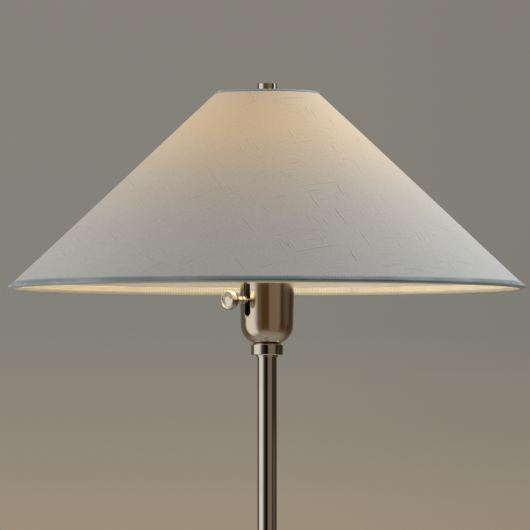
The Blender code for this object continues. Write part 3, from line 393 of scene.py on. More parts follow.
def shade_liner(name, colour):
    """The smooth stiff sheet that the cloth is laminated to, with faint roll marks."""
    g = Graph(name)
    place = g.place()
    slub, yarn = weave_heights(g, g.uv())
    cloud = g.noise(place, 18.0, 3.0, 0.55)
    tone = g.mix(g.between(cloud, 0.3, 0.7), colour, tuple(c * 0.95 for c in colour))
    tone = g.mix(g.times(slub, 0.25), tone, tuple(c * 0.78 for c in colour))
    g.set(
        Base_Color=tone,
        Roughness=g.between(cloud, 0.3, 0.7, 0.38, 0.5),
        Normal=g.bump(g.plus(slub, g.times(yarn, 0.3)), 0.2, 0.0001),
    )
    return g.material


def lit_glass(name, colour, strength):
    """Frosted bulb glass, brighter over the filament and dimmer down its neck."""
    g = Graph(name)
    place = g.place()
    _, _, z = g.split(place)
    lit = g.between(z, bulb_lo.z * MM, BULB_CENTRE.z * MM, 0.25, 1.0, smooth=True)
    frost = g.noise(place, 500.0, 3.0, 0.6)
    g.set(
        Base_Color=g.mix(g.between(frost, 0.3, 0.7), (0.9, 0.88, 0.83), (0.82, 0.79, 0.72)),
        Roughness=g.between(frost, 0.3, 0.7, 0.3, 0.45),
        Emission_Strength=g.times(lit, strength),
        Normal=g.bump(frost, 0.1, 0.00005),
    )
    g.set(Emission_Color=(*colour, 1.0))
    g.material.cycles.emission_sampling = "NONE"
    return g.material


NICKEL = (0.76, 0.72, 0.64)
POLISHED = polished_metal("polished_nickel", NICKEL, 0.02, 0.055)
POLISHED_BASE = polished_metal("polished_nickel_plate", NICKEL, 0.05, 0.15, 9.0, (14.0, 900.0, 900.0))
BRUSHED = turned_metal("brushed_nickel", (0.78, 0.69, 0.565), 0.05, 0.13, 60.0, 6.0, 0.5, lean=0.018)
SATIN_WIRE = plain_metal("satin_wire", (0.62, 0.59, 0.53), 0.22, 0.36, 160.0)
BRASS = plain_metal("brass_plain", (0.66, 0.48, 0.22), 0.2, 0.38, 120.0)
BRASS_TURNED = turned_metal("brass_turned", (0.70, 0.52, 0.25), 0.16, 0.3)
ZINC = plain_metal("zinc_steel", (0.56, 0.57, 0.58), 0.28, 0.5, 140.0)
IRON = plain_metal("cast_iron", (0.07, 0.068, 0.065), 0.6, 0.85, 220.0, 0.5, 0.0003)
# Painted shade: the cup's inside is near black, standing in for the shade within it.
INSIDE = plain_metal("cup_inside_painted_shade", (0.02, 0.019, 0.018), 0.45, 0.7, 180.0, 0.3)
PHENOLIC = moulded_plastic("phenolic_black", (0.016, 0.015, 0.014), 0.25, 0.42)
NYLON = moulded_plastic("nylon_natural", (0.7, 0.68, 0.62), 0.4, 0.55)
FELT = felt_cloth("felt_black", (0.045, 0.045, 0.048))
LINEN = lit_linen("linen", (0.80, 0.79, 0.775), (1.0, 0.46, 0.04), 0.275)
LINER = shade_liner("liner_white", (0.78, 0.73, 0.66))
# Painted shade: the hem and top tapes are the cloth's own self-trim, given darker blue-grey tones for the
# shade where they fold over their rings.
TAPE = ribbed_tape("hem_tape_ribs", (0.60, 0.64, 0.66), (0.70, 0.66, 0.55), (0.76, 0.76, 0.75), RIM + 4.0)
TOP_TRIM = ribbed_tape("top_tape_ribs", (0.55, 0.575, 0.60), (0.7, 0.66, 0.6), (0.62, 0.645, 0.67),
                       SHADE_TOP - 1.0)
# Painted highlight: the top tape's turned-up end is the same tape painted bright warm cream, a lit copy of
# it.
TOP_LAP_PAINTED_LIT = ribbed_tape("top_tape_end_painted_lit", (0.95, 0.87, 0.70), (0.7, 0.66, 0.6), (1.0, 0.93, 0.77),
                      SHADE_TOP - 1.0, 1.1 * MM)
BULB_GLASS = lit_glass("bulb_frosted_lit", (1.0, 0.78, 0.5), 6.0)


# ---------------------------------------------------------------- mesh helpers
def soften(corners, closed, steps=4, support=0.02):
    """Rounds each (x, z, radius) corner, with a support point just outside each end of its arc."""
    count = len(corners)
    places = [Vector(corner[:2]) for corner in corners]
    halves, runs = [], []
    for i, (_, _, radius) in enumerate(corners):
        half = math.pi / 2
        if radius > 0 and (closed or 0 < i < count - 1):
            half = (places[i - 1] - places[i]).angle(places[(i + 1) % count] - places[i]) / 2
        halves.append(half)
        runs.append(radius / math.tan(half) if half < math.pi / 2 - 0.01 else 0.0)
    fits = list(runs)
    for i in range(count):
        j = (i + 1) % count
        room = 0.96 * (places[j] - places[i]).length
        if runs[i] + runs[j] > room:
            share = room / (runs[i] + runs[j])
            fits[i], fits[j] = min(fits[i], runs[i] * share), min(fits[j], runs[j] * share)
    points = []
    for i, corner in enumerate(places):
        run, half = fits[i], halves[i]
        if run <= 0:
            points.append(corner)
            continue
        radius = run * math.tan(half)
        back = (places[i - 1] - corner).normalized()
        ahead = (places[(i + 1) % count] - corner).normalized()
        centre = corner + (back + ahead).normalized() * (radius / math.sin(half))
        start, end = corner + back * run - centre, corner + ahead * run - centre
        swing = start.angle(end)
        points.append(centre + start + back * support)
        for k in range(steps + 1):
            share = k / steps
            points.append(centre + (start * math.sin((1 - share) * swing)
                                    + end * math.sin(share * swing)) / math.sin(swing))
        points.append(centre + end + ahead * support)
    return points


def turned(radius, angle, z):
    return radius * math.cos(angle), radius * math.sin(angle), z


def lathe_mesh(name, corners, segments=144, wave=None, steps=4):
    """The softened corners turned round local Z. wave(radius, z, angle) gives a radius to use instead."""
    closed = corners[0][0] > 0 or corners[-1][0] > 0
    points = soften(corners, closed, steps)
    verts, rings = [], []
    for point in points:
        if point.x < 1e-4:
            rings.append([len(verts)] * segments)
            verts.append((0, 0, point.y * MM))
            continue
        ring = []
        for s in range(segments):
            angle = math.tau * s / segments
            radius = wave(point.x, point.y, angle) if wave else point.x
            ring.append(len(verts))
            verts.append(turned(radius * MM, angle, point.y * MM))
        rings.append(ring)
    pairs = list(zip(rings, rings[1:])) + ([(rings[-1], rings[0])] if closed else [])
    faces = []
    for low, high in pairs:
        for s in range(segments):
            t = (s + 1) % segments
            face = []
            for index in (low[s], low[t], high[t], high[s]):
                if index not in face:
                    face.append(index)
            faces.append(face)
    mesh = bpy.data.meshes.new(name)
    mesh.from_pydata(verts, [], faces)
    built = bmesh.new()
    built.from_mesh(mesh)
    bmesh.ops.recalc_face_normals(built, faces=built.faces)
    built.to_mesh(mesh)
    built.free()
    mesh.shade_smooth()
    mesh.set_sharp_from_angle(angle=math.radians(34))
    return mesh


def piece(name, mesh, material, body, replaces=(), matrix=None):
    """An object of this mesh with its finish, riding on its body and standing for CAD nodes."""
    made = bpy.data.objects.new(name, mesh)
    bpy.context.scene.collection.objects.link(made)
    mesh.materials.clear()
    mesh.materials.append(material)
    if matrix is not None:
        made.matrix_world = matrix
    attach(made, body)
    if replaces:
        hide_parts(*replaces)
    return made


def lathe(name, corners, material, body, replaces=(), matrix=None, **options):
    return piece(name, lathe_mesh(name, corners, **options), material, body, replaces, matrix)


def tube_mesh(name, points, radius, sides=14, closed=False):
    """A round wire along the points, with flat ends unless it is closed. Frames are carried along it."""
    points = [Vector(p) for p in points]
    count = len(points)
    tangents = []
    for i in range(count):
        before = points[i - 1] if closed or i else points[i]
        after = points[(i + 1) % count] if closed or i < count - 1 else points[i]
        tangents.append((after - before).normalized())
    normal = tangents[0].orthogonal().normalized()
    verts, faces = [], []
    for i, (point, tangent) in enumerate(zip(points, tangents)):
        normal = (normal - tangent * normal.dot(tangent)).normalized()
        side = tangent.cross(normal)
        for s in range(sides):
            angle = math.tau * s / sides
            verts.append(point + (normal * math.cos(angle) + side * math.sin(angle)) * radius)
    for i in range(count if closed else count - 1):
        for s in range(sides):
            a, b = i * sides, ((i + 1) % count) * sides
            t = (s + 1) % sides
            faces.append((a + s, a + t, b + t, b + s))
    if not closed:
        faces.append(list(range(sides))[::-1])
        faces.append([(count - 1) * sides + s for s in range(sides)])
    mesh = bpy.data.meshes.new(name)
    mesh.from_pydata([v * MM for v in verts], [], faces)
    mesh.shade_smooth()
    mesh.set_sharp_from_angle(angle=math.radians(50))
    return mesh


def bezier(start, first, second, end, steps):
    return [
        start * (1 - t) ** 3 + first * 3 * (1 - t) ** 2 * t + second * 3 * (1 - t) * t ** 2 + end * t ** 3
        for t in (i / steps for i in range(1, steps + 1))
    ]


def join_meshes(name, meshes):
    built = bmesh.new()
    for mesh in meshes:
        built.from_mesh(mesh)
    joined = bpy.data.meshes.new(name)
    built.to_mesh(joined)
    built.free()
    joined.shade_smooth()
    joined.set_sharp_from_angle(angle=math.radians(34))
    return joined


def extruded(name, outline, along):
    """A flat outline of points drawn out into a solid bar."""
    built = bmesh.new()
    face = built.faces.new([built.verts.new(Vector(point) * MM) for point in outline])
    grown = bmesh.ops.extrude_face_region(built, geom=[face])
    moved = [v for v in grown["geom"] if isinstance(v, bmesh.types.BMVert)]
    bmesh.ops.translate(built, verts=moved, vec=Vector(along) * MM)
    bmesh.ops.recalc_face_normals(built, faces=built.faces)
    mesh = bpy.data.meshes.new(name)
    built.to_mesh(mesh)
    built.free()
    return mesh


def move(x, y, z):
    """A matrix that moves by this much, in millimetres."""
    return Matrix.Translation(Vector((x, y, z)) * MM)


def on_wall(edge, up, out):
    point = Vector(edge) + UP_WALL * up + OUT_WALL * out
    return point.x, point.y


BOTTOM_EDGE = (R_BOTTOM, RIM)
TOP_EDGE = (R_TOP, SHADE_TOP)

# ---------------------------------------------------------------- the cloth cone
# The flat pattern is a sector of a ring. Its warp lies along the wall's slope 33 degrees to the right of
# the front, and its two straight edges meet in a lapped seam on the far side.
TURN = R_BOTTOM / math.hypot(R_BOTTOM, R_BOTTOM / (R_BOTTOM - R_TOP) * SHADE_HEIGHT)
WARP_AZIMUTH = math.radians(-57)
SEAM_AZIMUTH = WARP_AZIMUTH + math.pi
APEX_SLANT = SLANT * R_BOTTOM / (R_BOTTOM - R_TOP)


def sheet_mesh(name, rows, columns, place):
    """A bent grid. place(across, up), both from 0 to 1, gives a point in millimetres and its UV in metres."""
    spots = [place(column / columns, row / rows) for row in range(rows + 1) for column in range(columns + 1)]
    corners = (0, 1, columns + 2, columns + 1)
    faces = [[row * (columns + 1) + column + corner for corner in corners]
             for row in range(rows) for column in range(columns)]
    mesh = bpy.data.meshes.new(name)
    mesh.from_pydata([Vector(point) * MM for point, _ in spots], [], faces)
    layer = mesh.uv_layers.new(name="cloth")
    for loop in mesh.loops:
        layer.data[loop.index].uv = spots[loop.vertex_index][1]
    mesh.shade_smooth()
    return mesh


def cone_sheet(name, out, inset=0.0):
    """One sheet over the cone, this far out of the cloth line, with its flat pattern in metres as UV."""

    def place(round_share, share):
        up = inset + (SLANT - 2 * inset) * share
        angle = SEAM_AZIMUTH + math.tau * round_share
        ripple = 0.22 * math.sin(5 * angle + 1.1) + 0.14 * math.sin(13 * angle + share * 3)
        radius, z = on_wall(BOTTOM_EDGE, up, out + ripple * math.sin(math.pi * share))
        flat = (math.tau * round_share - math.pi) * TURN
        slant = (APEX_SLANT - up) * MM
        return turned(radius, angle, z), (slant * math.cos(flat), slant * math.sin(flat))

    return sheet_mesh(name, 28, 384, place)


cloth = piece("shade_cloth", cone_sheet("shade_cloth", 0.0), LINEN, "shade", ("shade_skin",))
liner = piece("shade_liner", cone_sheet("shade_liner", -1.0, inset=1.0), LINER, "shade", ("shade_skin",))
liner.visible_shadow = False


def seam_strip(name, width, out, thick):
    """A narrow strip of cloth that lies up the cone's wall over its seam, with soft edges."""

    def place(across, share):
        up = 3.0 + (SLANT - 5.0) * share
        lift = out + thick * min(1.0, 6 * min(across, 1 - across))
        radius, z = on_wall(BOTTOM_EDGE, up, lift)
        offset = (across - 0.5) * width
        return turned(radius, SEAM_AZIMUTH + offset / radius, z), (offset * MM, up * MM)

    return sheet_mesh(name, 40, 6, place)


lap = piece("shade_seam_lap", seam_strip("shade_seam_lap", 11, 0.05, 0.7), LINEN, "shade")
piece("shade_seam_inside", seam_strip("shade_seam_inside", 30, -1.1, -0.5), LINER, "shade")


def banded(mesh):
    """UV for a tape turned round Z: metres round it, then metres across it."""
    layer = mesh.uv_layers.new(name="tape")
    for polygon in mesh.polygons:
        middle = polygon.center
        turn = math.atan2(middle.y, middle.x)
        for index in polygon.loop_indices:
            co = mesh.vertices[mesh.loops[index].vertex_index].co
            angle = math.atan2(co.y, co.x)
            if angle - turn > math.pi:
                angle -= math.tau
            if turn - angle > math.pi:
                angle += math.tau
            layer.data[index].uv = (angle * middle.to_2d().length, co.z)
    return mesh


HEM = 7.0
HEM_INSIDE = 9.5
hem_corners = [
    (*on_wall(BOTTOM_EDGE, HEM, 0.05), 0.0),
    (*on_wall(BOTTOM_EDGE, HEM, 0.35), 0.15),
    (*on_wall(BOTTOM_EDGE, 3.2, 0.95), 4),
    (*on_wall(BOTTOM_EDGE, 0.1, 0.8), 1.2),
    (*on_wall(BOTTOM_EDGE, -0.5, -0.6), 0.9),
    (*on_wall(BOTTOM_EDGE, 2.5, -5.45), 0.9),
    (*on_wall(BOTTOM_EDGE, 6.2, -5.2), 1.8),
    (*on_wall(BOTTOM_EDGE, HEM_INSIDE, -1.9), 0.3),
    (*on_wall(BOTTOM_EDGE, HEM_INSIDE, -1.15), 0.0),
]
hem = piece("hem_tape", banded(lathe_mesh("hem_tape", hem_corners, segments=512, steps=3)), TAPE, "shade",
            ("bottom_trim",))
TOP_TAPE = 2.1
top_corners = [
    (*on_wall(TOP_EDGE, -TOP_TAPE, 0.1), 0.0),
    (*on_wall(TOP_EDGE, -TOP_TAPE, 0.4), 0.25),
    (*on_wall(TOP_EDGE, 0.6, 0.8), 0.7),
    (*on_wall(TOP_EDGE, 0.9, -1.9), 0.7),
    (*on_wall(TOP_EDGE, -1.6, -2.1), 0.2),
    (*on_wall(TOP_EDGE, -1.6, -1.15), 0.0),
]
top_tape = piece("top_tape", banded(lathe_mesh("top_tape", top_corners, segments=256, steps=3)), TOP_TRIM,
                 "shade", ("top_trim",))


def tape_end(name, azimuth, half, corners, lift):
    """The top tape's turned-under end: its profile again, a little proud, over a few degrees."""
    mesh = lathe_mesh(name, corners, segments=720, steps=3)
    built = bmesh.new()
    built.from_mesh(mesh)
    gone = []
    for vert in built.verts:
        away = (math.atan2(vert.co.y, vert.co.x) - azimuth + math.pi) % math.tau - math.pi
        if abs(away) > half:
            gone.append(vert)
            continue
        proud = (lift * min(1.0, 5 * (1 - abs(away) / half)) + 0.03) * MM
        rim = Vector((vert.co.x, vert.co.y)).normalized()
        side = 1 if vert.co.to_2d().length > (R_TOP - 0.8) * MM else -1
        vert.co.x += rim.x * proud * side
        vert.co.y += rim.y * proud * side
        vert.co.z += proud * (0.5 if vert.co.z > (SHADE_TOP - 0.3) * MM else -0.8)
    bmesh.ops.delete(built, geom=gone, context="VERTS")
    built.to_mesh(mesh)
    built.free()
    return banded(mesh)


tape_end_mesh = tape_end("top_tape_end", math.radians(206), math.radians(3.6), top_corners, 0.8)
# Painted highlight: the tape's end takes the bright, lit copy of the top tape's finish.
piece("top_tape_end", tape_end_mesh, TOP_LAP_PAINTED_LIT, "shade")

# ---------------------------------------------------------------- shade fitter
RING_R, RING_Z = on_wall(TOP_EDGE, -3.5, -3.0)
SPIDER_Z = RING_Z - 12
SPIDER_WIRE = 1.5
ring = [turned(RING_R, math.tau * i / 160, RING_Z) for i in range(160)]
fitter = [tube_mesh("ring", ring, SPIDER_WIRE, 14, closed=True)]
for i in range(3):
    angle = math.radians(-90) + math.tau * i / 3
    out = Vector((math.cos(angle), math.sin(angle), 0))
    level = Vector((0, 0, SPIDER_Z))
    bend = out * 28 + level
    rim_point = out * (RING_R - 0.4) + Vector((0, 0, RING_Z))
    handle = out * (RING_R - 28) / 2
    path = [out * 8.5 + level, out * 14 + level, out * 20 + level, bend,
            *bezier(bend, bend + handle, rim_point - handle, rim_point, 14)]
    fitter.append(tube_mesh(f"arm{i}", path, SPIDER_WIRE, 14))
fitter.append(lathe_mesh("hub", [
    (3.3, SPIDER_Z - 0.8, 0.15), (13, SPIDER_Z - 0.8, 0.4),
    (13, SPIDER_Z + 0.8, 0.4), (3.3, SPIDER_Z + 0.8, 0.15)], segments=96))
piece("shade_fitter", join_meshes("shade_fitter", fitter), SATIN_WIRE, "shade", ("shade_spider",))

# ---------------------------------------------------------------- finial
fin_lo, fin_hi = in_mm(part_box("finial"))
lathe("finial_drum", [
    (0, fin_lo.z + 12, 0), (3.3, fin_lo.z + 12, 0.2), (3.3, fin_lo.z, 0.2),
    (7.0, fin_lo.z, 0.5), (7.0, fin_lo.z + 1.8, 0.5),
    (5.2, fin_lo.z + 2.6, 0.6), (5.2, fin_hi.z - 16, 1.2),
    (fin_hi.x - 0.9, fin_hi.z - 13.6, 0.5), (fin_hi.x, fin_hi.z - 12.6, 0.5),
    (fin_hi.x, fin_hi.z - 0.1, 0.7), (fin_hi.x - 2.2, fin_hi.z, 2),
    (0, fin_hi.z, 0)], POLISHED, "finial", ("finial",))

# ---------------------------------------------------------------- socket cup
CORNER = 18.6
WALL = 1.2
LIP = CUP_LIP + 1.2
PIPE = 5.2
DRAFT = 0.022


def wall(level, inwards=0.0):
    """The cup wall's radius at this level: it draws in a little towards its rounded bottom."""
    return CUP_R - (LIP - level) * DRAFT - inwards


wall_levels = [CUP_BOTTOM + 20.5 + i * 3.9 for i in range(10)]
cup_mesh = lathe_mesh("socket_cup_body", [
    (PIPE, CUP_BOTTOM, 0.1), (wall(CUP_BOTTOM), CUP_BOTTOM, CORNER),
    *[(wall(level), level, 0) for level in wall_levels], (CUP_R, LIP, 0.7), (CUP_R - WALL, LIP, 0.4),
    *[(wall(level, WALL), level, 0) for level in wall_levels[::-1]],
    (wall(CUP_BOTTOM, WALL), CUP_BOTTOM + WALL, CORNER - WALL),
    (PIPE, CUP_BOTTOM + WALL, 0.1)], segments=240, steps=14)


def slot_cutter(width, length, reach):
    """A tall round-ended bar that crosses the cup's wall towards the knob."""
    half = width / 2
    outline = [(half, length), (-half, length)]
    outline += [(half * math.cos(a), half + half * math.sin(a))
                for a in (math.pi + math.pi * i / 24 for i in range(25))]
    return extruded("cutter", [(0, x, z) for x, z in outline], (reach, 0, 0))


SLOT_WIDTH = 9.2
SLOT_LENGTH = 32.0
knob_turn = math.atan2(KNOB_AXIS.y, KNOB_AXIS.x)
cutter = bpy.data.objects.new("cutter", slot_cutter(SLOT_WIDTH, 2 * SLOT_LENGTH, 14))
bpy.context.scene.collection.objects.link(cutter)
cutter.matrix_world = (move(0, 0, CUP_LIP - SLOT_LENGTH) @ Matrix.Rotation(knob_turn, 4, "Z")
                       @ move(CUP_R - 8, 0, 0))
raw = bpy.data.objects.new("raw_cup", cup_mesh)
bpy.context.scene.collection.objects.link(raw)
cut = raw.modifiers.new("slot", "BOOLEAN")
cut.operation = "DIFFERENCE"
cut.solver = "EXACT"
cut.object = cutter
edge = raw.modifiers.new("edge", "BEVEL")
edge.width = 0.35 * MM
edge.segments = 2
edge.limit_method = "ANGLE"
edge.angle_limit = math.radians(50)
bpy.context.view_layer.update()
cup_shape = bpy.data.meshes.new_from_object(raw.evaluated_get(bpy.context.evaluated_depsgraph_get()))
bpy.data.objects.remove(raw)
bpy.data.objects.remove(cutter)
cup_shape.shade_smooth()
cup_shape.set_sharp_from_angle(angle=math.radians(30))
piece("socket_cup_body", cup_shape, BRUSHED, "mast", ("socket_cup",))
# Painted shade: faces inside the cup, below its lip, take the near-black finish.
cup_shape.materials.append(INSIDE)
for polygon in cup_shape.polygons:
    centre = polygon.center / MM
    flat = centre.to_2d()
    inwards = polygon.normal.to_2d().dot(flat) < 0 or polygon.normal.z > 0.3
    if inwards and centre.z < LIP - 0.8 and flat.length < wall(centre.z, 0.5 * WALL):
        polygon.material_index = 1

# ---------------------------------------------------------------- switch shaft and turn knob
knob_frame = move(*KNOB_POINT) @ KNOB_AXIS.to_track_quat("Z", "Y").to_matrix().to_4x4()
BEAD = CUP_R + 4.4
FACE = CUP_R + 25.6
KNOB_R = 9.5
lathe("knob_shaft", [
    (0, 5.3, 0), (2.1, 5.3, 0.3), (2.1, BEAD + 4, 0.2),
    (0, BEAD + 4, 0)], BRASS_TURNED, "dimmer", ("switch_shaft",), knob_frame, segments=48)
lathe("knob_body", [
    (2.3, CUP_R + 0.6, 0), (3.2, CUP_R + 0.6, 0.2), (3.7, CUP_R + 1.6, 0.8),
    (3.7, BEAD + 0.3, 0.5), (3.0, BEAD + 0.8, 0.4),
    (3.0, BEAD + 1.6, 0.4), (3.7, BEAD + 2.2, 0.5),
    (3.7, BEAD + 4.8, 0.9), (2.5, BEAD + 5.8, 0.7),
    (2.4, BEAD + 7.6, 1.0), (4.6, BEAD + 9.4, 1.6),
    (8.3, BEAD + 13.2, 3.0), (KNOB_R - 0.1, FACE - 5.2, 1.4),
    (KNOB_R, FACE - 0.8, 0.8), (KNOB_R - 0.9, FACE, 0.7),
    (KNOB_R - 1.9, FACE - 0.1, 0.5), (KNOB_R - 2.5, FACE - 0.95, 0.4),
    (KNOB_R * 0.4, FACE - 0.62, 9), (0, FACE - 0.6, 0), (0, BEAD + 4.6, 0),
    (2.3, BEAD + 4.6, 0)],
    POLISHED, "dimmer", ("turn_knob",), knob_frame, segments=120)

# ---------------------------------------------------------------- collar and poles
POLE_R = in_mm(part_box("upper_pole"))[1].x
neck_r = neck_hi.x
lathe("neck_ring", [
    (POLE_R + 0.3, neck_lo.z, 0.1), (POLE_R + 1.2, neck_lo.z, 0.3),
    (POLE_R + 1.2, neck_lo.z + 1.8, 0.1), (neck_r - 0.7, neck_lo.z + 1.8, 0.25),
    (neck_r, neck_lo.z + 2.5, 0.25), (neck_r, neck_hi.z - 0.7, 0.25),
    (neck_r - 0.7, neck_hi.z, 0.3), (13.9, neck_hi.z + 0.85, 0.4),
    (12.4, neck_hi.z + 0.5, 0.4), (9.0, neck_hi.z + 0.1, 1), (PIPE, neck_hi.z, 0), (PIPE, neck_lo.z + 4.0, 0),
    (POLE_R + 0.3, neck_lo.z + 4.0, 0)], POLISHED, "mast", ("neck_collar",))
upper_lo, upper_hi = in_mm(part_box("upper_pole"))
lathe("upper_stem", [
    (POLE_R - 1.0, upper_lo.z, 0.2), (POLE_R, upper_lo.z, 0.2),
    (POLE_R, upper_hi.z, 0.2), (POLE_R - 1.0, upper_hi.z, 0.2)], POLISHED, "mast",
    ("upper_pole",))
lower_lo, lower_hi = in_mm(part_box("lower_pole"))
LOWER_R = lower_hi.x
lathe("lower_stem", [
    (LOWER_R - 1.2, lower_lo.z, 0.2), (LOWER_R, lower_lo.z, 0.2),
    (LOWER_R, lower_hi.z, 0.2), (LOWER_R - 1.2, lower_hi.z, 0.2)], POLISHED, "stand",
    ("lower_pole",))

# ---------------------------------------------------------------- clamp collar and thumb screw
clamp_lo, clamp_hi = in_mm(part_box("clamp_collar"))
CLAMP_R = clamp_hi.x
shoulder = clamp_hi.z - 20
clamp_mesh = lathe_mesh("clamp_ring", [
    (LOWER_R + 0.3, clamp_lo.z, 0.2), (CLAMP_R - 2, clamp_lo.z, 0.4),
    (CLAMP_R, clamp_lo.z + 2, 0.6), (CLAMP_R, shoulder - 4, 0.3),
    (CLAMP_R - 0.7, shoulder - 3.4, 0.2), (CLAMP_R - 0.7, shoulder - 2.4, 0.2),
    (CLAMP_R, shoulder - 1.8, 0.3), (CLAMP_R, clamp_hi.z - 4, 1.2),
    (CLAMP_R - 1.4, clamp_hi.z - 1.6, 1.2), (CLAMP_R - 4, clamp_hi.z, 0.8),
    (POLE_R + 0.35, clamp_hi.z, 0.25), (POLE_R + 0.35, shoulder, 0),
    (LOWER_R + 0.3, shoulder, 0)], segments=180)
piece("clamp_ring", clamp_mesh, POLISHED, "stand", ("clamp_collar",))
lock_frame = move(0, 0, LOCK_POINT.z) @ Matrix.Rotation(math.radians(90), 4, "Y")
lock_lo, lock_hi = in_mm(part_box("lock_screw"))
TIP, END = lock_lo.x, lock_hi.x
GRIP = 9.0


def knurl(radius, z, angle):
    """Straight knurling on the thumb screw's rim."""
    if radius < GRIP - 0.6 or not END - 10 < z < END - 2.2:
        return radius
    return radius - 0.32 * abs(math.sin(angle * 24)) ** 1.5


lathe("thumb_screw", [
    (0, TIP, 0), (2.5, TIP, 0.2), (2.5, CLAMP_R + 1.0, 0.1),
    (4.2, CLAMP_R + 1.0, 0.4), (4.2, CLAMP_R + 3.0, 0.8),
    (GRIP - 0.9, CLAMP_R + 4.0, 0.6), (GRIP, END - 9.4, 0.4),
    (GRIP, END - 6, 0), (GRIP, END - 4, 0), (GRIP, END - 2.4, 0.4),
    (GRIP - 0.9, END - 1.4, 0.3), (GRIP - 1.6, END - 0.5, 1.5), (0, END, 0)],
    POLISHED, "lock", ("lock_screw",), lock_frame, segments=288, wave=knurl)

# ---------------------------------------------------------------- base
boss_lo, boss_hi = in_mm(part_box("base_boss"))
NECK = LOWER_R + 3.5
BOSS_R = boss_hi.x
lathe("base_boss_turned", [
    (PIPE, boss_lo.z, 0), (BOSS_R - 1.6, boss_lo.z, 0.5), (BOSS_R - 0.2, boss_lo.z + 1.4, 1),
    (BOSS_R - 1.4, boss_lo.z + 3.4, 0.9), (NECK + 3.6, boss_lo.z + 4.0, 0.5),
    (NECK + 0.6, boss_lo.z + 7.0, 3.6), (NECK - 0.2, boss_lo.z + 12, 3),
    (NECK - 0.2, boss_hi.z - 6.4, 0.4), (NECK + 1.3, boss_hi.z - 5.8, 0.8),
    (NECK + 1.3, boss_hi.z - 3.0, 0.8), (NECK - 0.2, boss_hi.z - 2.4, 0.3),
    (NECK - 0.3, boss_hi.z - 1.0, 0.8), (NECK - 1.6, boss_hi.z, 0.6),
    (LOWER_R + 0.3, boss_hi.z, 0.2), (LOWER_R + 0.3, lower_lo.z - 0.3, 0),
    (PIPE, lower_lo.z - 0.3, 0)], POLISHED, "stand", ("base_boss",), steps=6)
cover_lo, cover_hi = in_mm(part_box("base_cover"))
BASE_R = cover_hi.x
BASE_EDGE = cover_hi.z - 5
SKIN = 1.2


def crown(inset):
    """The base's top from its skirt to its centre: a rounded shoulder, a low dome and a flat centre."""
    rise = cover_hi.z - inset
    return [
        (BASE_R - inset, cover_lo.z, 0.3 if inset == 0 else 0.0),
        (BASE_R - inset, BASE_EDGE - inset, 6 - inset),
        (BASE_R * 0.80, BASE_EDGE + 1.5 - inset, 60),
        (BASE_R * 0.45, rise - 1.0, 60), (27, rise, 20), (PIPE, rise, 0),
    ]


base_mesh = lathe_mesh("base_dish", crown(0) + crown(SKIN)[::-1], segments=256, steps=8)
piece("base_dish", base_mesh, POLISHED_BASE, "stand", ("base_cover",))
felt_hi = in_mm(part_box("felt_pad"))[1]


def pinked(radius, z, angle):
    """The felt's cut edge wanders a little."""
    if radius < felt_hi.x * 0.9:
        return radius
    return radius - 0.25 * (1 + math.sin(31 * angle) * math.sin(7 * angle + 2))


lathe("felt_foot", [
    (0, 0, 0), (felt_hi.x * 0.35, 0, 0), (felt_hi.x * 0.7, 0, 0), (felt_hi.x, 0, 0.5),
    (felt_hi.x, felt_hi.z, 0.5), (felt_hi.x * 0.6, felt_hi.z, 0), (0, felt_hi.z, 0)],
    FELT, "stand", ("felt_pad",), segments=256, wave=pinked)
bush_lo, bush_hi = in_mm(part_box("cord_bushing"))
bush_z = (bush_lo.z + bush_hi.z) / 2
bush_frame = move(0, 0, bush_z) @ Matrix.Rotation(math.radians(-90), 4, "X")
lathe("cord_gland", [
    (3.2, bush_lo.y, 0.3), (4.6, bush_lo.y, 0.3), (6.0, bush_lo.y + 1.0, 0.3),
    (6.0, bush_lo.y + 2.0, 0.1), (4.6, bush_lo.y + 2.0, 0.1),
    (4.6, BASE_R + 0.3, 0.1), (6.6, BASE_R + 0.3, 0.2),
    (6.6, BASE_R + 1.5, 0.8), (4.9, bush_hi.y, 0.8), (3.2, bush_hi.y, 0.5)],
    PHENOLIC, "stand", ("cord_bushing",), bush_frame, segments=64)

# ---------------------------------------------------------------- lamp holder, harp and bulb
cap_lo, cap_hi = in_mm(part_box("holder_cap"))
HOLDER_R = cap_hi.x
lathe("holder_base_cap", [
    (PIPE, cap_lo.z, 0), (8, cap_lo.z, 0.4), (8, cap_lo.z + 4.5, 1.5),
    (HOLDER_R, cap_lo.z + 11, 4), (HOLDER_R, cap_hi.z, 0.3), (HOLDER_R - 1.5, cap_hi.z, 0.3),
    (HOLDER_R - 1.5, cap_lo.z + 13, 2), (8, cap_lo.z + 7.5, 1),
    (PIPE, cap_lo.z + 7.5, 0)], PHENOLIC, "mast", ("holder_cap",), segments=96)
shell_lo, shell_hi = in_mm(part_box("holder_shell"))


def ribbed(radius, z, angle):
    """Grip ribs moulded on the upper half of the lamp holder's shell."""
    if radius < HOLDER_R - 0.6 or not shell_hi.z - 17 < z < shell_hi.z - 3:
        return radius
    return radius - 0.35 * max(0.0, math.sin(angle * 36))


shell_mesh = lathe_mesh("holder_sleeve", [
    (HOLDER_R - 1.5, shell_lo.z, 0.2), (HOLDER_R, shell_lo.z, 0.3),
    (HOLDER_R, shell_hi.z - 17.5, 0.2), (HOLDER_R, shell_hi.z - 16.5, 0.2),
    (HOLDER_R, shell_hi.z - 3.5, 0.2), (HOLDER_R, shell_hi.z - 2.6, 0.2),
    (HOLDER_R, shell_hi.z, 0.5), (HOLDER_R - 1.5, shell_hi.z, 0.5)], segments=432, wave=ribbed)
piece("holder_sleeve", shell_mesh, PHENOLIC, "mast", ("holder_shell",))

saddle_lo, saddle_hi = in_mm(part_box("harp_saddle"))
HARP_WIRE = 1.6
LEG_X = saddle_hi.x - HARP_WIRE
SADDLE_BEND = CORNER - 1.7
THICK = 1.5
arm_top = saddle_lo.z + 34
bend_from = saddle_hi.x - SADDLE_BEND


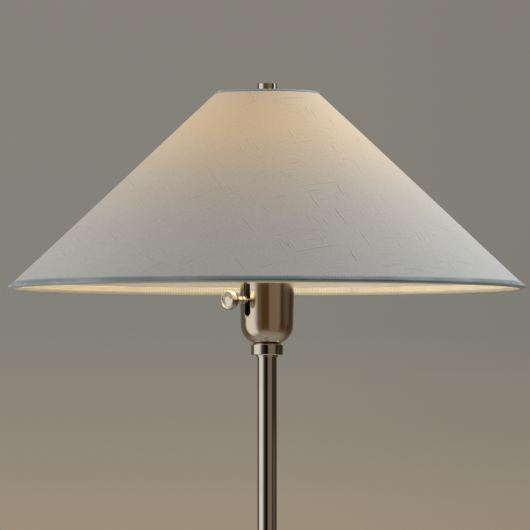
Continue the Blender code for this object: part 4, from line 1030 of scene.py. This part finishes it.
def strap_edge(inset, steps):
    """The strap's bend, this far in from its outer face."""
    radius = SADDLE_BEND - inset
    return [(bend_from + radius * math.sin(a), saddle_lo.z + inset + radius * (1 - math.cos(a)))
            for a in (math.pi / 2 * i / 12 for i in steps)]


right = [(bend_from, saddle_lo.z), *strap_edge(0, range(1, 13)), (saddle_hi.x, arm_top),
         (saddle_hi.x - THICK, arm_top), *strap_edge(THICK, range(12, 0, -1)),
         (bend_from, saddle_lo.z + THICK)]
outline = right + [(-x, z) for x, z in right[::-1]]
strap_meshes = [extruded("strap", [(x, -6, z) for x, z in outline], (0, 12, 0))]
for side in (-1, 1):
    strap_meshes.append(tube_mesh("post", [
        (side * LEG_X, 0, arm_top - 14), (side * LEG_X, 0, arm_top), (side * LEG_X, 0, saddle_hi.z - 4),
        (side * LEG_X, 0, saddle_hi.z)], HARP_WIRE, 20))
piece("saddle_strap", join_meshes("saddle_strap", strap_meshes), BRASS, "mast", ("harp_saddle",))

bow_lo, bow_hi = in_mm(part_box("harp_bow"))
stud_lo, stud_hi = in_mm(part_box("harp_stud"))
wire_z = bow_hi.z - HARP_WIRE
BOW_HALF = 60
foot = Vector((LEG_X, 0, bow_lo.z))
knee = foot + Vector((0, 0, 16))
widest = Vector((BOW_HALF, 0, foot.z + (wire_z - foot.z) * 0.55))
top = Vector((6.6, 0, wire_z))
rise_low = Vector((0, 0, (widest.z - knee.z) * 0.5))
rise_high = Vector((0, 0, (wire_z - widest.z) * 0.62))
in_top = Vector((BOW_HALF * 0.62, 0, 0))
half_bow = [foot, foot.lerp(knee, 0.5), knee, *bezier(knee, knee + rise_low, widest - rise_low, widest, 20),
            *bezier(widest, widest + rise_high, top + in_top, top, 28), Vector((0, 0, wire_z))]
bow = half_bow + [Vector((-p.x, 0, p.z)) for p in half_bow[-2::-1]]
piece("harp_wire", tube_mesh("harp_wire", bow, HARP_WIRE, 18), SATIN_WIRE, "mast", ("harp_bow",))
hub_top = stud_hi.z - 13.5
STUD_PITCH = 0.94


def threaded(radius, z, angle):
    """A rolled thread on the stud above its seat."""
    if not stud_hi.z - 10.5 < z < stud_hi.z - 0.6 or radius > 3.2:
        return radius
    return radius - 0.22 * (1 + math.sin(math.tau * z / STUD_PITCH - angle))


stud_rows = [(3.0, stud_hi.z - 11.0 + i * 0.16, 0) for i in range(66)]
lathe("harp_stud_turned", [
    (0, stud_lo.z, 0), (5.5, stud_lo.z, 0.5), (5.5, hub_top, 0.2), (8.0, hub_top, 0.3),
    (8.0, hub_top + 2.0, 0.3), (3.0, hub_top + 2.0, 0.1), *stud_rows,
    (2.5, stud_hi.z, 0.2), (0, stud_hi.z, 0)], BRASS_TURNED, "mast", ("harp_stud",),
    segments=64, wave=threaded)
ferrule_lo = in_mm(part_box("harp_ferrule_right"))[0]
FERRULE_BORE, FERRULE_R, FERRULE_LENGTH = 1.9, 3.4, 12
ferrule = [
    (FERRULE_BORE, 0, 0.2), (FERRULE_R, 0, 0.7), (FERRULE_R, 8.6, 0.2), (FERRULE_R - 0.3, 9.0, 0.1),
    (FERRULE_R, 9.4, 0.2), (FERRULE_R, FERRULE_LENGTH, 0.9), (FERRULE_BORE, FERRULE_LENGTH, 0.3)]
for side, word in ((-1, "left"), (1, "right")):
    lathe(f"ferrule_{word}", ferrule, BRUSHED, f"ferrule_{word}", (f"harp_ferrule_{word}",),
          move(side * LEG_X, 0, ferrule_lo.z), segments=48)

base_lo, base_hi = in_mm(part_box("bulb_base"))
CAP_R = 13.0
PITCH = 3.63


def edison(radius, z, angle):
    """The rolled screw thread of the bulb's cap."""
    if radius < CAP_R - 1.3 or not base_lo.z + 3.5 < z < base_hi.z - 4:
        return min(radius, CAP_R)
    return CAP_R - 0.55 * (1 - math.sin(math.tau * z / PITCH - angle))


cap_rows = [(CAP_R, base_lo.z + 3.6 + i * 0.4, 0) for i in range(44)]
lathe("bulb_cap", [
    (4.7, base_lo.z, 0.2), (10.4, base_lo.z, 0.8), (CAP_R - 1.2, base_lo.z + 3.4, 0.6),
    *cap_rows, (CAP_R - 0.3, base_hi.z, 0.3), (CAP_R - 0.8, base_hi.z, 0),
    (10, base_lo.z + 4.5, 0), (4.7, base_lo.z + 1.0, 0)],
    ZINC, "bulb", ("bulb_base",), segments=72, wave=edison)
GLOBE = 30
neck_bulb = CAP_R - 1.1
join_angle = math.radians(-32)
start = Vector((neck_bulb, 0, base_hi.z))
end = Vector((GLOBE * math.cos(join_angle), 0, BULB_CENTRE.z + GLOBE * math.sin(join_angle)))
tangent = Vector((-math.sin(join_angle), 0, math.cos(join_angle)))
reach = (end - start).length / 2
flare = bezier(start, start + Vector((0, 0, reach)), end - tangent * reach, end, 16)
globe = [(GLOBE * math.cos(a), BULB_CENTRE.z + GLOBE * math.sin(a), 0)
         for a in (join_angle + (math.pi / 2 - join_angle) * i / 28 for i in range(1, 28))]
envelope = [(0, base_hi.z - 5, 0), (neck_bulb, base_hi.z - 5, 0), (neck_bulb, base_hi.z, 0),
            *[(p.x, p.z, 0) for p in flare], *globe, (0, BULB_CENTRE.z + GLOBE, 0)]
glass = lathe("bulb_envelope", envelope, BULB_GLASS, "bulb", ("bulb_glass",), segments=96)
glass.visible_shadow = False

# ---------------------------------------------------------------- finishes of the frame's own parts
CARRIED = {
    "base_weight": IRON, "base_washer": ZINC, "base_nut": BRASS, "base_pipe": ZINC, "foot_plug": BRASS_TURNED,
    "guide_bush": NYLON, "slide_bush": NYLON, "pole_plug": BRASS_TURNED, "cup_pipe": ZINC, "cup_washer": ZINC,
    "cup_nut": BRASS, "centre_contact": BRASS, "terminal_screw_live": BRASS, "terminal_screw_neutral": BRASS,
    "switch_block": PHENOLIC, "screw_shell": BRASS_TURNED, "bulb_tip": BRASS, "lock_pad": BRASS,
    "bottom_ring": ZINC,
}
for node, finish in CARRIED.items():
    carried = frame["nodes"][node]
    carried.data.materials.clear()
    carried.data.materials.append(finish)

# ---------------------------------------------------------------- lights
WARM = (1.0, 0.86, 0.64)


def from_lamp(azimuth, elevation, distance, height):
    """A point this many metres from the lamp's axis at a height in millimetres.

    Azimuth is in degrees to the right of the camera's side."""
    a, e = math.radians(azimuth), math.radians(elevation)
    way = Vector((math.sin(a) * math.cos(e), -math.cos(a) * math.cos(e), math.sin(e)))
    return way * distance + Vector((0, 0, height * MM))


def panel(name, azimuth, elevation, distance, width, height, power, colour, aim):
    light = bpy.data.lights.new(name, "AREA")
    light.shape = "RECTANGLE"
    light.size, light.size_y = width, height
    light.energy = power
    light.color = colour
    made = bpy.data.objects.new(name, light)
    bpy.context.scene.collection.objects.link(made)
    made.location = from_lamp(azimuth, elevation, distance, aim)
    made.rotation_mode = "QUATERNION"
    made.rotation_quaternion = (Vector((0, 0, aim * MM)) - made.location).to_track_quat("-Z", "Y")
    made.visible_camera = False
    made.visible_glossy = False
    return made


panel("softbox_left", -80, 4, 2.4, 2.6, 1.9, 41, (0.96, 1.0, 1.0), RIM)
panel("window_right", 101, 42, 3.0, 0.5, 2.2, 73, (0.91, 0.97, 1.0), RIM)
panel("ceiling_fill", 10, 80, 2.6, 2.4, 2.4, 2, (1.0, 0.97, 0.92), RIM)
bulb_light = bpy.data.lights.new("bulb_light", "POINT")
bulb_light.energy = 1.35
bulb_light.color = WARM
bulb_light.shadow_soft_size = 26 * MM
bulb_object = bpy.data.objects.new("bulb_light", bulb_light)
bpy.context.scene.collection.objects.link(bulb_object)
bulb_object.location = BULB_CENTRE * MM
bulb_object.visible_camera = False
bulb_object.visible_glossy = False

# ---------------------------------------------------------------- surroundings
world = bpy.data.worlds.new("studio")
bpy.context.scene.world = world
world.cycles.sampling_method = "NONE"
sky = Graph("studio", world)
sky.tree.nodes.clear()


def grey(level, warm=1.0):
    return (level, level * (1 - 0.06 * warm), level * (1 - 0.16 * warm))


def brown(level):
    return (level, level * 0.79, level * 0.58)


BLACK = (0, 0, 0)


x, y, z = sky.split(sky.node("ShaderNodeTexCoord").outputs["Generated"])
# Azimuth to the right of the camera's side, from 0 at directly away round to 1; 0.5 faces the camera's side.
azimuth = sky.math("ARCTAN2", x, sky.times(y, -1.0))
turn = sky.plus(sky.times(azimuth, 1 / math.tau), 0.5)


def at(degrees):
    return 0.5 + degrees / 360


ROOM = sky.ramp(turn, [
    (at(-180), brown(0.17)), (at(-150), brown(0.17)), (at(-128), brown(0.13)),
    (at(-112), brown(0.10)), (at(-104), grey(0.60, 0.5)), (at(-98), grey(0.84, 0.3)),
    (at(-60), grey(0.82, 0.3)), (at(-47), grey(0.42, 0.8)), (at(-38), brown(0.13)),
    (at(-24), brown(0.022)), (at(-6), brown(0.003)), (at(4), brown(0.006)),
    (at(12), brown(0.19)), (at(52), brown(0.21)), (at(66), brown(0.03)),
    (at(84), brown(0.03)), (at(94), brown(0.07)), (at(103), brown(0.02)),
    (at(125), brown(0.045)), (at(140), brown(0.06)), (at(152), brown(0.15)),
    (at(180), brown(0.17)),
])
# A thin bright strip stands low down on the right, seen only in what reflects from below eye level.
STRIP = sky.ramp(turn, [
    (at(70), BLACK), (at(76), (0.065, 0.048, 0.034)),
    (at(108), (0.075, 0.055, 0.04)), (at(118), BLACK)])
elevation = sky.plus(sky.times(sky.math("ARCSINE", z), 1 / math.pi), 0.5)
CEILING = sky.ramp(elevation, [
    (0.0, brown(0.34)), (0.22, brown(0.30)), (0.33, brown(0.12)), (0.43, BLACK), (0.64, BLACK),
    (0.76, grey(0.22)), (1.0, grey(0.26)),
], "EASE")
above = sky.ramp(elevation, [
    (0.1, BLACK), (0.3, (1, 1, 1)), (0.64, (1, 1, 1)), (0.76, BLACK)], "EASE")
room = sky.mix(1.0, sky.mix(1.0, ROOM, above, "MULTIPLY"), CEILING, "LIGHTEN")
HIGH = sky.ramp(turn, [
    (at(-44), BLACK), (at(-30), (0.13, 0.07, 0.025)), (at(8), (0.13, 0.07, 0.025)), (at(16), BLACK),
    (at(88), BLACK), (at(94), grey(1.1, 0.3)), (at(110), grey(1.1, 0.3)),
    (at(116), BLACK)])
room = sky.mix(sky.between(z, 0.045, 0.065), room, HIGH, "LIGHTEN")
# Well below eye level the dark gaps between the windows fill with brown.
GAPS = sky.ramp(turn, [
    (at(-44), BLACK), (at(-34), (0.20, 0.13, 0.075)), (at(-20), (0.095, 0.052, 0.018)),
    (at(4), (0.095, 0.052, 0.018)), (at(14), (0.22, 0.15, 0.09)), (at(52), (0.23, 0.16, 0.10)),
    (at(64), (0.075, 0.042, 0.02)), (at(84), (0.075, 0.042, 0.018)), (at(94), (0.11, 0.065, 0.03)),
    (at(104), (0.055, 0.03, 0.015)), (at(125), (0.10, 0.06, 0.03)), (at(140), BLACK)])
deep = sky.between(z, -0.048, -0.038, 1.0, 0.0)
room = sky.mix(deep, room, GAPS, "LIGHTEN")
low_down = sky.times(sky.between(z, -0.012, -0.002, 1.0, 0.0), sky.minus(1.0, deep))
room = sky.mix(low_down, room, STRIP, "ADD")


def linear(r, g, b):
    """A display colour, 0 to 255, as scene-linear light."""
    return tuple(((c / 255 + 0.055) / 1.055) ** 2.4 for c in (r, g, b))


# The plain backdrop: grey above, warmer and lighter towards the floor, over a few degrees.
low = sky.math("DIVIDE", sky.plus(sky.math("ARCSINE", z), math.radians(4)), math.radians(12))
BACKDROP = sky.ramp(low, [
    (0.0, linear(170, 158, 140)), (0.19, linear(156, 143, 124)), (0.33, linear(142, 134, 122)),
    (0.42, linear(131, 130, 122)), (0.62, linear(133, 130, 122)), (1.0, linear(134, 130, 123)),
], "EASE")
# It falls off a little towards the right.
dimmed = sky.node("ShaderNodeVectorMath", operation="SCALE")
sky.feed(dimmed.inputs[0], BACKDROP)
sky.feed(dimmed.inputs["Scale"], sky.between(x, 0.008, 0.064, 1.0, 0.93))
paths = sky.node("ShaderNodeLightPath").outputs
soft = sky.mix(paths["Is Diffuse Ray"], room, (0.12, 0.12, 0.12), "MULTIPLY")
background = sky.node("ShaderNodeBackground")
sky.feed(background.inputs[0], sky.mix(paths["Is Camera Ray"], soft, dimmed.outputs[0]))
sky.feed(sky.node("ShaderNodeOutputWorld").inputs[0], background.outputs[0])

ground = Graph("studio_floor")
place = ground.place()
fx, fy, _ = ground.split(place)
far = ground.distance(fx, fy)
grain = ground.noise(place, 30.0, 5.0, 0.6)
ground.set(
    Base_Color=ground.mix(ground.between(grain, 0.3, 0.7), (0.56, 0.53, 0.48), (0.52, 0.49, 0.445)),
    Roughness=ground.between(grain, 0.3, 0.7, 0.7, 0.85),
    Normal=ground.bump(grain, 0.05, 0.0005),
)
clear = ground.node("ShaderNodeBsdfTransparent")
backface = ground.node("ShaderNodeNewGeometry").outputs["Backfacing"]
fade = ground.math("MAXIMUM", ground.between(far, 2.5, 8.0, smooth=True), backface)
mirrored = ground.node("ShaderNodeLightPath").outputs["Is Glossy Ray"]
fade = ground.math("MAXIMUM", fade, ground.times(mirrored, ground.between(far, 0.3, 1.4, smooth=True)))
blend = ground.node("ShaderNodeMixShader")
ground.feed(blend.inputs[0], fade)
ground.feed(blend.inputs[1], ground.shader.outputs[0])
ground.feed(blend.inputs[2], clear.outputs[0])
ground.feed(ground.tree.nodes["Material Output"].inputs[0], blend.outputs[0])
built = bmesh.new()
bmesh.ops.create_grid(built, x_segments=24, y_segments=24, size=9.0)
floor_mesh = bpy.data.meshes.new("floor")
built.to_mesh(floor_mesh)
built.free()
floor_mesh.materials.append(ground.material)
floor = bpy.data.objects.new("floor", floor_mesh)
floor.location.z = -0.0003
bpy.context.scene.collection.objects.link(floor)

# ---------------------------------------------------------------- camera
DISTANCE = 4.2
HALF_WIDTH = 0.2597
camera_data = bpy.data.cameras.new("camera")
camera_data.sensor_width = 36.0
camera_data.lens = 18.0 * DISTANCE / HALF_WIDTH
camera_data.clip_start = 0.05
camera_data.clip_end = 200.0
camera = bpy.data.objects.new("camera", camera_data)
bpy.context.scene.collection.objects.link(camera)
SIDE = -2.0 * MM
camera.location = (SIDE, -DISTANCE, (RIM - 112) * MM)
target = Vector((SIDE, 0, (RIM + 21.6) * MM))
camera.rotation_mode = "QUATERNION"
camera.rotation_quaternion = (target - camera.location).to_track_quat("-Z", "Y")
bpy.context.scene.camera = camera
bpy.context.scene.view_settings.view_transform = "Standard"
bpy.context.scene.view_settings.look = "None"
